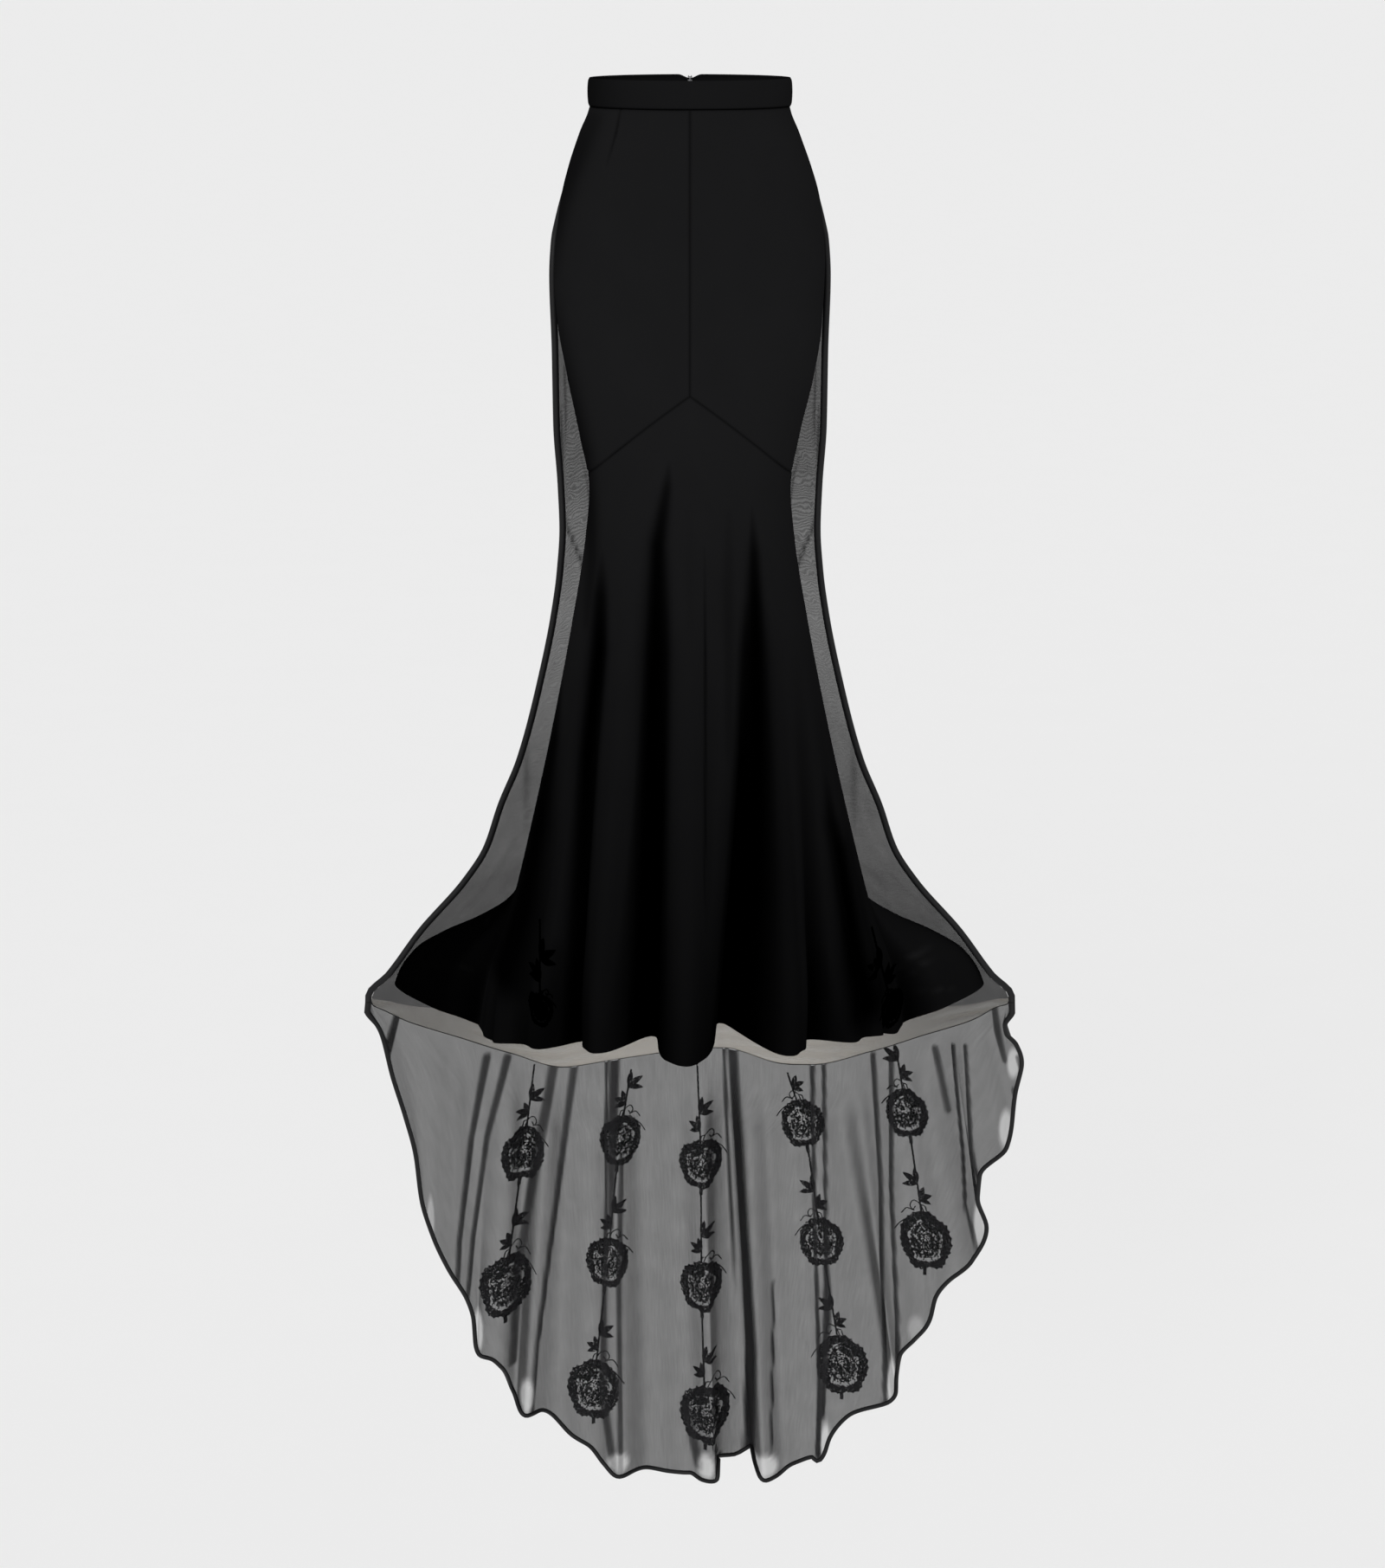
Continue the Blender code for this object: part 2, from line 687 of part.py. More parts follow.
def band_top(columns):
    """The pale band's upper edge, straight between every second column, as the net's edge is."""
    top = seam_down(columns) - along(TRAIN_SEAM, "side", "band", columns)
    share = (columns[1::2] - columns[:-1:2]) / (columns[2::2] - columns[:-1:2])
    top[1::2] = top[:-1:2] * (1 - share) + top[2::2] * share
    return top


def make_net(net):
    """Two halves with a seam at the centre back, on every second column of the train."""
    half_gap = SEAM_GAP / 2 / (math.pi / 2 * NET["back"][0])
    places = train_columns()[::2]
    bottom = band_top(train_columns())[::2] - SEAM_GAP
    half = int(np.abs(places).argmin())
    for name, span, end, turned in (
        ("overlay_right", slice(None, half + 1), -1, -half_gap),
        ("overlay_left", slice(half, None), 0, half_gap),
    ):
        columns = places[span].copy()
        columns[end] = turned
        u = np.broadcast_to(columns, (len(NET_ROWS), len(columns))).copy()
        v = WAIST_SEAM + NET_ROWS[:, None] * (bottom[span] - WAIST_SEAM)
        wall(name, net_surface, u, v, NET_WALL, net, outward=-1)


def make_pale_band(pale):
    columns = train_columns()
    u, v = grid(columns, band_top(columns), seam_down(columns), 2)
    wall("pale_band", net_surface, u, v, NET_WALL, pale, outward=-1)


def make_train(net):
    columns = train_columns()
    u, v = grid(columns, np.zeros(len(columns)), np.ones(len(columns)), TRAIN_ROWS)
    wall("train", train_surface, u, v, NET_WALL, net, outward=-1)


def make_bindings(binding):
    """Along the net's free edges and round the train's hem, each just past the cloth's edge. Each
    side binding comes down to a corner of the train, and is mitred there with the train's binding."""
    reach = BINDING_ACROSS + SEAM_GAP
    columns = train_columns()
    columns = np.concatenate([columns[:1], columns, columns[-1:]])
    hem = np.ones(len(columns))
    hem[[0, -1]] = 0.0
    hem_path = train_surface(columns, hem)
    out = normals(train_surface, columns, np.maximum(hem - 1e-3, 0.0), -1)
    hem_path = hem_path - out * NET_WALL / 2
    run, turned = runs(hem_path)
    away = unit(np.cross(out, run)) / turned
    for name, side, corner in (("side_binding_right", -1.0, 0), ("side_binding_left", 1.0, -1)):
        top = WAIST_SEAM + SEAM_GAP
        down = top + NET_ROWS * (band_top(train_columns())[0] - SEAM_GAP - top)
        down = np.append(down, seam_down(np.array([side])) - CORNER_GAP)
        edge = net_surface(np.full(len(down), side), down)
        run, turned = runs(edge)
        through = unit(np.cross(run, np.array([side, 0.0, 0.0])))
        across = unit(np.cross(through, run)) / turned
        both = across[-1] + away[corner]
        across[-1] = away[corner] = 2 * both / (both @ both)
        path = edge + across * reach
        rouleau(name, path, across, through, binding)
    hem_path = hem_path + away * (reach + SEAM_GAP)
    rouleau("train_binding", hem_path, away, out, binding)


def lace_outline(column, leaf_side):
    """One side of a column and then the other, from the stem's top round its foot and back."""
    roses = [i for i, number in enumerate(ROSES["column"]) if number == column]
    top = int(column) - 1
    path = table(
        "down across",
        [(STEMS["down"][top], STEMS["across"][top])]
        + [(ROSES["down"][i], ROSES["across"][i]) for i in roses],
    )
    rows = [(STEMS["down"][top], STEM_HALF_WIDTH, STEM_HALF_WIDTH)]
    for i in roses:
        down, wide, high = (ROSES[key][i] for key in ("down", "half_width", "half_height"))
        for above, side in ((UPPER_LEAF_ABOVE, leaf_side), (LOWER_LEAF_ABOVE, -leaf_side)):
            at = down - high - above
            if at - LEAF_HALF_HEIGHT < rows[-1][0]:
                continue
            tip = [STEM_HALF_WIDTH, LEAF_REACH]
            rows.append((at - LEAF_HALF_HEIGHT, STEM_HALF_WIDTH, STEM_HALF_WIDTH))
            rows.append((at, *tip[:: int(side)]))
            rows.append((at + LEAF_HALF_HEIGHT, STEM_HALF_WIDTH, STEM_HALF_WIDTH))
        rows.append((down - high - STEM_HALF_WIDTH, STEM_HALF_WIDTH, STEM_HALF_WIDTH))
        for share, left, right in zip(*ROSE_OUTLINE.values()):
            rows.append((down + share * high, left * wide, right * wide))
        rows.append((down + high + STEM_HALF_WIDTH, STEM_HALF_WIDTH, STEM_HALF_WIDTH))
    foot = rows[-1][0] + STUB_LENGTH
    rows.append((rows[-1][0] + STEM_HALF_WIDTH, 2 * STEM_HALF_WIDTH, 2 * STEM_HALF_WIDTH))
    rows.append((foot, 2 * STEM_HALF_WIDTH, 2 * STEM_HALF_WIDTH))
    downs, left, right = np.array(rows).T
    middle = along(path, "down", "across", downs)
    sides = [np.stack([middle + right, -downs], axis=1), np.stack([middle - left, -downs], axis=1)]
    outline = np.concatenate([sides[0], sides[1][::-1]])
    openings = []
    for i in roses:
        for side in (-1, 1):
            x = ROSES["across"][i] + side * ROSE_OPENING["across"] * ROSES["half_width"][i]
            z = -ROSES["down"][i] - ROSE_OPENING["down"] * ROSES["half_height"][i]
            openings.append(np.stack([x, z], axis=1))
    return [outline] + openings


def lace_cutter(name, outlines):
    """The flat outlines filled and drawn out through the train's depth, as a mesh."""
    curve = bpy.data.curves.new(name, "CURVE")
    curve.dimensions = "2D"
    curve.fill_mode = "BOTH"
    curve.extrude = LACE_REACH / 2
    for outline in outlines:
        spline = curve.splines.new("POLY")
        spline.points.add(len(outline) - 1)
        spline.use_cyclic_u = True
        for point, (x, z) in zip(spline.points, outline):
            point.co = (x, z, 0, 1)
    drawn = bpy.data.objects.new(name + "_curve", curve)
    drawn.rotation_euler = (math.pi / 2, 0, 0)
    drawn.location = (0, LACE_REACH / 2, 0)
    cutters.objects.link(drawn)
    bpy.context.view_layer.update()
    graph = bpy.context.evaluated_depsgraph_get()
    mesh = bpy.data.meshes.new_from_object(drawn.evaluated_get(graph))
    welded = bmesh.new()
    welded.from_mesh(mesh)
    bmesh.ops.remove_doubles(welded, verts=welded.verts, dist=1e-6)
    bmesh.ops.recalc_face_normals(welded, faces=welded.faces)
    welded.to_mesh(mesh)
    welded.free()
    cutter = bpy.data.objects.new(name, mesh)
    cutter.matrix_world = drawn.matrix_world.copy()
    bpy.data.objects.remove(drawn, do_unlink=True)
    return cutter


def make_roses(lace):
    """Each column is cut from a sheet that lies just off the train, on the train's own points."""
    columns = train_columns()
    u, v = grid(columns, np.zeros(len(columns)), np.ones(len(columns)), TRAIN_ROWS)
    for column, leaf_side in zip(STEMS["column"], STEMS["leaf_side"]):
        name = f"rose_column_{int(column)}"
        lift = LACE_LIFT + LACE_WALL
        sheet = wall(name, train_surface, u, v, LACE_WALL, lace, outward=-1, lift=lift)
        cutter = lace_cutter(name + "_outline", lace_outline(column, leaf_side))
        cutters.objects.link(cutter)
        join_shapes(sheet, [cutter], "INTERSECT")


def block(name, low, high):
    """A box between two corners."""
    bpy.ops.mesh.primitive_cube_add(size=1)
    box = bpy.context.object
    box.name = name
    box.scale = [b - a for a, b in zip(low, high)]
    box.location = [(a + b) / 2 for a, b in zip(low, high)]
    bpy.ops.object.transform_apply(location=True, rotation=False, scale=True)
    return box


def hinge_bar(name, radius, half_length):
    """A cylinder on the pull's hinge line."""
    bpy.ops.mesh.primitive_cylinder_add(
        vertices=16,
        radius=radius,
        depth=2 * half_length,
        location=(0, HINGE_Y, HINGE_Z),
        rotation=(0, math.pi / 2, 0),
    )
    bar = bpy.context.object
    bar.name = name
    bpy.ops.object.transform_apply(location=True, rotation=True, scale=False)
    return bar


def join_shapes(body, others, operation):
    """Joins the others to the body, or cuts them from it, by live Booleans."""
    for other in others:
        for group in list(other.users_collection):
            group.objects.unlink(other)
        cutters.objects.link(other)
        other.hide_render = True
        other.display_type = "WIRE"
        boolean = body.modifiers.new(other.name, "BOOLEAN")
        boolean.operation = operation
        boolean.object = other


def claim(part, material):
    """Puts a piece in the skirt's collection with its material."""
    for group in list(part.users_collection):
        group.objects.unlink(part)
    parts.objects.link(part)
    part.data.materials.append(material)


def make_slider(metal):
    """The slider inside the band, with a neck over the V to the bar that the pull swings on."""
    slider = block(
        "zip_slider",
        (-SLIDER_HALF_WIDTH, SLIDER_INSIDE, SLIDER_LOW),
        (SLIDER_HALF_WIDTH, SLIDER_OUTSIDE, SLIDER_HIGH),
    )
    riser = block(
        "slider_riser",
        (-NECK_HALF_WIDTH, NECK_INSIDE, SLIDER_HIGH - HINGE_RADIUS),
        (NECK_HALF_WIDTH, SLIDER_OUTSIDE, BRIDGE_HIGH - HINGE_RADIUS / 4),
    )
    bridge = block(
        "slider_bridge",
        (-NECK_HALF_WIDTH, NECK_INSIDE + HINGE_RADIUS / 4, BRIDGE_LOW),
        (NECK_HALF_WIDTH, HINGE_Y, BRIDGE_HIGH),
    )
    bar = hinge_bar("slider_bar", HINGE_RADIUS, HINGE_HALF_LENGTH)
    claim(slider, metal)
    join_shapes(slider, (riser, bridge, bar), "UNION")


def make_pull(metal):
    """A flat tab on two arms, each with an eye round the slider's bar."""
    bore = HINGE_RADIUS + EYE_CLEARANCE
    eye = bore + EYE_WALL
    tab_top = HINGE_Z - eye - EYE_WALL
    pull = block(
        "zip_pull",
        (-PULL_HALF_WIDTH, HINGE_Y - PULL_HALF_THICKNESS, HINGE_Z - PULL_LENGTH),
        (PULL_HALF_WIDTH, HINGE_Y + PULL_HALF_THICKNESS, tab_top),
    )
    claim(pull, metal)
    arms = []
    for name, start, stop in (
        ("pull_arm_right", -PULL_HALF_WIDTH, -ARM_START),
        ("pull_arm_left", ARM_START, PULL_HALF_WIDTH),
    ):
        arms.append(
            block(
                name,
                (start, HINGE_Y - eye, tab_top - EYE_WALL),
                (stop, HINGE_Y + eye, HINGE_Z + eye),
            )
        )
    join_shapes(pull, arms, "UNION")
    join_shapes(pull, [hinge_bar("pull_bore", bore, 2 * HINGE_HALF_LENGTH)], "DIFFERENCE")


def make_zip(metal, tape):
    """A concealed zip: its tape inside the centre back, its slider in the V, its pull outside."""
    half = math.degrees(ZIP_HALF_WIDTH / BODY["back"][1])
    columns = np.linspace(180 - half, 180 + half, 5)
    u, v = grid(columns, np.full(5, WAIST_SEAM + ZIP_WALL), np.full(5, ZIP_BOTTOM), 9)
    wall("zip_tape", skirt_surface, u, v, ZIP_WALL, tape, lift=-ZIP_DEPTH)
    make_slider(metal)
    make_pull(metal)


def clear_scene():
    for old in list(bpy.data.objects):
        bpy.data.objects.remove(old, do_unlink=True)


def main():
    crepe = cloth("crepe_black", CREPE_BLACK, 0.75)
    net = cloth("net_black", NET_BLACK, 0.80)
    pale = cloth("net_pale", NET_PALE, 0.85)
    binding = cloth("binding_black", CREPE_BLACK, 0.60)
    lace = cloth("lace_black", LACE_BLACK, 0.70)
    metal = cloth("zip_metal", ZIP_METAL, 0.35, 1.0)
    make_waistband(crepe)
    make_upper_panels(crepe)
    make_flounces(crepe)
    make_net(net)
    make_pale_band(pale)
    make_train(net)
    make_bindings(binding)
    make_roses(lace)
    make_zip(metal, binding)


clear_scene()
parts = bpy.data.collections.new("fishtail_skirt")
cutters = bpy.data.collections.new("zip_shapes")
cutters.hide_render = True
for group in (parts, cutters):
    bpy.context.scene.collection.children.link(group)
main()
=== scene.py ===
"""Cloth, lace and studio for the mermaid fishtail skirt.

Metres, +Z up. The wearer faces -Y, so the wearer's left is at +X, and the origin is the middle of
the waist opening. Every piece of cloth is a fine closed shell over its own solid of the frame, on
the same surfaces: skirt_surface(angle, down), net_surface(side, down), train_surface(side, fall).
Seams, folds and creases are pressed into it, and its map is its cut in metres, for the weave.
"""

import math
from functools import partial

import bpy
import numpy as np
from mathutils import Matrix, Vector
from mathutils.bvhtree import BVHTree


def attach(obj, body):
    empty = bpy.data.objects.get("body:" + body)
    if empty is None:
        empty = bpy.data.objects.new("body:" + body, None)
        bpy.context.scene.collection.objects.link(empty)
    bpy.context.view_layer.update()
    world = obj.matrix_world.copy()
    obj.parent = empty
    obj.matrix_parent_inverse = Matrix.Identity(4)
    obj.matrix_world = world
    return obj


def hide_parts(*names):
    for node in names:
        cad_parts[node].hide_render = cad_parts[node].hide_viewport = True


bl_info = {
    "name": "Mermaid fishtail skirt",
    "version": (1, 0, 0),
    "blender": (4, 5, 0),
    "location": "View3D > Sidebar > Skirt",
    "description": "Dresses the frame of a mermaid skirt in crepe, net and lace",
    "category": "Object",
}

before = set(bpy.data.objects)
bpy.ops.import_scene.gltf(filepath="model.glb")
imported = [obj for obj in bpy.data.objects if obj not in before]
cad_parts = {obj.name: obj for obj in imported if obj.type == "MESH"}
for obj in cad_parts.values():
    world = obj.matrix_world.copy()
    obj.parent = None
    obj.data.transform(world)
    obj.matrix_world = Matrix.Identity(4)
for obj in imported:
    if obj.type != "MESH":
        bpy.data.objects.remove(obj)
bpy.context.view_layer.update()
# Filled by make_finishes, and read by every piece.
finishes = {}

SEAM_GAP = 0.0003
BAND_HEIGHT = 0.0326
BAND_HALF_WIDTH = 0.1195
BAND_FRONT = 0.0870
BAND_BACK = 0.0860
BAND_BULGE = 0.0012
BAND_NOTCH = 0.0045
BAND_NOTCH_HALF_ANGLE = 7.0
WAIST_SEAM = BAND_HEIGHT / 2
CHEVRON_PEAK = 0.344
CHEVRON_FALL = 0.101
SIDE_SEAM_ANGLE = 92.0
NET_SEWN_ANGLE = 62.0
NET_SEWN_LIFT = 0.0017
TRAIN_LEAN = 0.070
TRAIN_TOP_GAP = 0.0006
FOLD_SETTLED = 0.18
FOLD_FIRST_DEPTH = 0.55
FOLD_FULL_DROP = 0.25
FOLD_FAN = 60.0


def table(columns, *rows):
    """A small table, its rows given one by one, as one array for each named column."""
    return dict(zip(columns.split(), np.array(rows, float).T))


# The opaque skirt: half width, depth in front of the side line and depth behind it.
BODY = table(
    "down half_width front back",
    (0.000, 0.1165, 0.0850, 0.0840),
    (0.016, 0.1170, 0.0860, 0.0850),
    (0.047, 0.1283, 0.0920, 0.0960),
    (0.085, 0.1416, 0.0980, 0.1070),
    (0.120, 0.1510, 0.1020, 0.1150),
    (0.150, 0.1552, 0.1050, 0.1200),
    (0.205, 0.1590, 0.1070, 0.1230),
    (0.267, 0.1560, 0.1070, 0.1190),
    (0.329, 0.1462, 0.1050, 0.1090),
    (0.402, 0.1302, 0.1030, 0.0990),
    (0.465, 0.1196, 0.1040, 0.0970),
    (0.526, 0.1247, 0.1100, 0.1040),
    (0.619, 0.1397, 0.1310, 0.1220),
    (0.755, 0.1659, 0.1680, 0.1600),
    (0.851, 0.1870, 0.1960, 0.1900),
    (0.967, 0.2151, 0.2300, 0.2250),
    (1.053, 0.2400, 0.2560, 0.2500),
    (1.220, 0.2650, 0.2900, 0.2700),
)

# The hem of the opaque skirt all round.
HEM = table(
    "angle down",
    (-180, 1.205),
    (-140, 1.150),
    (-113, 1.110),
    (-100, 1.122),
    (-85, 1.131),
    (-60, 1.114),
    (-44, 1.103),
    (-24, 1.088),
    (-14, 1.091),
    (0, 1.096),
    (13, 1.082),
    (25, 1.092),
    (48, 1.100),
    (72, 1.114),
    (85, 1.128),
    (100, 1.121),
    (113, 1.110),
    (140, 1.150),
    (180, 1.205),
)

# Folds of the flounces: depth is a share of the distance from the middle, crests above 0.
FLOUNCE_FOLDS = table(
    "angle_top angle_hem half_angle depth start",
    (-86, -76, 9.0, -0.030, 0.700),
    (-66, -58, 12.0, -0.055, 0.620),
    (-52, -38, 8.0, -0.160, 0.520),
    (-34, -25, 7.0, 0.090, 0.560),
    (-15, -14.5, 8.0, -0.300, 0.500),
    (0, -1.0, 8.0, 0.090, 0.560),
    (36, 14.5, 9.5, -0.400, 0.500),
    (46, 26.0, 7.0, 0.080, 0.560),
    (60, 42.0, 10.0, -0.150, 0.640),
    (74, 60.0, 9.0, -0.045, 0.700),
    (86, 76, 9.0, -0.030, 0.740),
    (128, 122, 9.0, -0.070, 0.600),
    (158, 150, 10.0, -0.110, 0.560),
    (-128, -122, 9.0, -0.070, 0.600),
    (-158, -150, 10.0, -0.110, 0.560),
    (180, 180, 8.0, 0.060, 0.560),
)

# The back sweep: how far it reaches past the flounce's cone, and how that grows down.
SWEEP_REACH = table(
    "angle reach",
    (0, 0.00),
    (84, 0.00),
    (92, 0.03),
    (101, 0.28),
    (112, 0.58),
    (123, 0.50),
    (150, 0.36),
    (180, 0.33),
)
SWEEP_RISE = table(
    "down share",
    (0.000, 0.00),
    (0.955, 0.00),
    (0.985, 0.12),
    (1.015, 0.38),
    (1.040, 0.68),
    (1.066, 0.90),
    (1.100, 1.00),
    (1.220, 1.06),
)

# The net: half width, depth of its front edge and centre back, how round it is and how much
# it takes from the skirt it is sewn to.
NET = table(
    "down half_width edge back roundness hug",
    (0.000, 0.1080, 0.0430, 0.0930, 1.00, 1.00),
    (0.016, 0.1080, 0.0430, 0.0930, 1.00, 1.00),
    (0.047, 0.1180, 0.0500, 0.1050, 1.00, 0.45),
    (0.085, 0.1320, 0.0540, 0.1180, 1.00, 0.00),
    (0.120, 0.1430, 0.0500, 0.1270, 1.00, 0.00),
    (0.150, 0.1510, 0.0400, 0.1330, 1.00, 0.00),
    (0.175, 0.1560, 0.0300, 0.1360, 1.00, 0.00),
    (0.218, 0.1583, 0.0260, 0.1380, 1.00, 0.00),
    (0.305, 0.1560, 0.0300, 0.1420, 1.00, 0.00),
    (0.395, 0.1552, 0.0400, 0.1500, 1.00, 0.00),
    (0.468, 0.1508, 0.0500, 0.1560, 1.00, 0.00),
    (0.521, 0.1490, 0.0520, 0.1620, 1.00, 0.00),
    (0.575, 0.1528, 0.0600, 0.1700, 1.00, 0.00),
    (0.631, 0.1608, 0.0700, 0.1800, 1.02, 0.00),
    (0.712, 0.1776, 0.0800, 0.2000, 1.08, 0.00),
    (0.818, 0.2058, 0.1000, 0.2380, 1.18, 0.00),
    (0.875, 0.2290, 0.1100, 0.2660, 1.25, 0.00),
    (0.935, 0.2495, 0.1200, 0.3000, 1.32, 0.00),
    (0.978, 0.2770, 0.1250, 0.3280, 1.38, 0.00),
    (1.042, 0.3320, 0.1300, 0.3700, 1.48, 0.00),
    (1.100, 0.3740, 0.1350, 0.3980, 1.56, 0.00),
    (1.128, 0.3990, 0.1400, 0.4080, 1.60, 0.00),
    (1.300, 0.3990, 0.1400, 0.4260, 1.60, 0.00),
)

# Where the train is sewn on, and how deep the pale band above that seam is.
TRAIN_SEAM = table(
    "side down band",
    (-1.00, 1.134, 0.006),
    (-0.85, 1.151, 0.012),
    (-0.70, 1.182, 0.022),
    (-0.55, 1.217, 0.034),
    (-0.40, 1.257, 0.044),
    (-0.26, 1.289, 0.052),
    (-0.14, 1.284, 0.054),
    (0.00, 1.275, 0.050),
    (0.07, 1.272, 0.048),
    (0.20, 1.289, 0.054),
    (0.26, 1.286, 0.052),
    (0.40, 1.255, 0.044),
    (0.55, 1.215, 0.034),
    (0.70, 1.180, 0.022),
    (0.85, 1.147, 0.010),
    (1.00, 1.134, 0.006),
)

# The train's hem: its place across and how far down, at each side share.
TRAIN_HEM = table(
    "side across down",
    (-1.000, -0.401, 1.146),
    (-0.949, -0.386, 1.174),
    (-0.877, -0.373, 1.238),
    (-0.816, -0.360, 1.295),
    (-0.754, -0.349, 1.357),
    (-0.687, -0.344, 1.423),
    (-0.631, -0.332, 1.476),
    (-0.573, -0.314, 1.533),
    (-0.516, -0.291, 1.590),
    (-0.487, -0.284, 1.622),
    (-0.449, -0.282, 1.659),
    (-0.431, -0.278, 1.671),
    (-0.411, -0.263, 1.677),
    (-0.388, -0.247, 1.699),
    (-0.354, -0.236, 1.742),
    (-0.305, -0.218, 1.773),
    (-0.290, -0.205, 1.772),
    (-0.243, -0.158, 1.819),
    (-0.221, -0.136, 1.833),
    (-0.193, -0.115, 1.859),
    (-0.165, -0.096, 1.875),
    (-0.143, -0.080, 1.873),
    (-0.074, -0.028, 1.883),
    (-0.039, -0.001, 1.883),
    (-0.012, 0.017, 1.890),
    (0.020, 0.034, 1.886),
    (0.042, 0.036, 1.862),
    (0.058, 0.060, 1.867),
    (0.075, 0.084, 1.854),
    (0.096, 0.091, 1.868),
    (0.127, 0.103, 1.882),
    (0.143, 0.116, 1.879),
    (0.173, 0.142, 1.860),
    (0.193, 0.166, 1.848),
    (0.202, 0.172, 1.853),
    (0.212, 0.178, 1.845),
    (0.232, 0.186, 1.821),
    (0.264, 0.214, 1.783),
    (0.310, 0.266, 1.752),
    (0.329, 0.273, 1.743),
    (0.354, 0.274, 1.724),
    (0.385, 0.277, 1.686),
    (0.415, 0.295, 1.655),
    (0.455, 0.314, 1.620),
    (0.484, 0.321, 1.588),
    (0.512, 0.338, 1.555),
    (0.550, 0.366, 1.523),
    (0.600, 0.384, 1.480),
    (0.635, 0.370, 1.430),
    (0.657, 0.371, 1.394),
    (0.700, 0.403, 1.348),
    (0.732, 0.408, 1.320),
    (0.784, 0.411, 1.271),
    (0.830, 0.417, 1.226),
    (0.881, 0.409, 1.197),
    (0.917, 0.396, 1.181),
    (0.958, 0.393, 1.165),
    (1.000, 0.400, 1.147),
)

# Folds of the train: depth in metres, towards the wearer above 0.
TRAIN_FOLDS = table(
    "side half_width depth",
    (-0.900, 0.090, 0.010),
    (-0.760, 0.090, -0.010),
    (-0.620, 0.080, 0.010),
    (-0.500, 0.060, -0.010),
    (-0.410, 0.055, 0.022),
    (-0.355, 0.045, -0.012),
    (-0.305, 0.045, 0.020),
    (-0.265, 0.045, -0.014),
    (-0.165, 0.055, 0.022),
    (-0.100, 0.060, -0.012),
    (0.016, 0.055, 0.022),
    (0.065, 0.045, -0.034),
    (0.120, 0.045, 0.026),
    (0.200, 0.050, 0.012),
    (0.310, 0.055, 0.020),
    (0.350, 0.045, -0.016),
    (0.440, 0.055, 0.014),
    (0.530, 0.050, 0.018),
    (0.610, 0.050, -0.018),
    (0.700, 0.060, 0.018),
    (0.780, 0.050, -0.012),
    (0.860, 0.060, 0.018),
    (0.930, 0.045, -0.012),
)

# The lace roses, column by column from the wearer's right: centre, half width and half height.
ROSES = table(
    "column across down half_width half_height",
    (1, -0.220, 1.402, 0.0272, 0.0382),
    (1, -0.245, 1.582, 0.0332, 0.0449),
    (2, -0.093, 1.397, 0.0269, 0.0355),
    (2, -0.111, 1.568, 0.0282, 0.0367),
    (2, -0.131, 1.753, 0.0348, 0.0443),
    (3, 0.014, 1.434, 0.0289, 0.0357),
    (3, 0.015, 1.609, 0.0280, 0.0376),
    (3, 0.020, 1.796, 0.0340, 0.0440),
    (4, 0.149, 1.370, 0.0283, 0.0341),
    (4, 0.175, 1.537, 0.0289, 0.0358),
    (4, 0.204, 1.713, 0.0340, 0.0444),
    (5, 0.282, 1.331, 0.0263, 0.0352),
    (5, 0.309, 1.508, 0.0324, 0.0428),
)
# Each column's stem from its top, and the side of its upper leaves.
STEMS = table(
    "column across down leaf_side",
    (1, -0.204, 1.278, 1),
    (2, -0.078, 1.300, 1),
    (3, 0.009, 1.288, 1),
    (4, 0.128, 1.300, -1),
    (5, 0.268, 1.250, -1),
)

# How the cloth lies: each sewn edge sinks this deep into its seam, over this reach.
SEAM_DEPTH = 0.0010
SEAM_REACH = 0.0018
SEWN_GAP = 0.00002
# A usual piece's size, by which its grid closes up towards its seams, and an upper panel's grid.
PANEL_WIDTH = 0.24
PANEL_LENGTH = 0.5
PANEL_COLUMNS = 84
PANEL_ROWS = 84
# The grids of the flounces, columns by rows, and of the waistband round its circle and its notch.
FRONT_FLOUNCE_GRID = (232, 142)
BACK_FLOUNCE_GRID = (124, 112)
WAISTBAND_COLUMNS = 190
NOTCH_COLUMNS = 14
WAISTBAND_ROWS = 10
# Edges that turn by more than this are drawn sharp.
SHARP_ANGLE = math.radians(60)
CREPE_THICKNESS = 0.0011
NET_THICKNESS = 0.0005
BAND_THICKNESS = 0.0028
# The waistband's edges are rolled in. It is folded over the panels' top edges by its tuck, and painted
# shade darkens it there.
BAND_ROLL = 0.0011
BAND_ROLL_REACH = 0.0022
BAND_TUCK = 0.0010
BAND_TUCK_SHADE = 0.9
BAND_TUCK_FADE = 0.0012
# Painted shade on the waistband: darkest at this angle on the wearer's right, and that fades over its
# spread.
BAND_PAINTED_SHADE = 0.45
BAND_SHADE_ANGLE = 78.0
BAND_SHADE_SPREAD = 30.0
# The side net's grid. Its folds grow from a height down, end a little above its seam, and lie round
# the back, within a share of the way to its edges.
NET_COLUMNS = 118
NET_ROWS = 130
NET_FOLD_DEPTH = 0.0060
NET_FOLD_TOP = 0.25
NET_FOLD_GROWS = 0.8
NET_FOLD_ENDS = 0.06
NET_FOLD_SIDE = 0.86
NET_FOLD_FADE = 0.2
# Its creases lie past this share of the way, and stand up by this much of the cover they add.
NET_CREASE_SIDE = 0.5
NET_CREASE_RISE = 0.008
# The pale band: its rows, how high it wrinkles, and how far from its middle it stays light before
# painted shade darkens its sides.
PALE_ROWS = 14
WRINKLE_HEIGHT = 0.0010
PALE_MIDDLE = 0.42
# The dark lines of the train are pressed in, which fades towards its hem.
TRAIN_PRESS = 0.0010
TRAIN_PRESS_FADE = 0.06
# The train looks darker where a fold turns from its face: by how much, and how far that goes.
FOLD_DARKENING = 0.8
FOLD_STEEPEST = 0.45
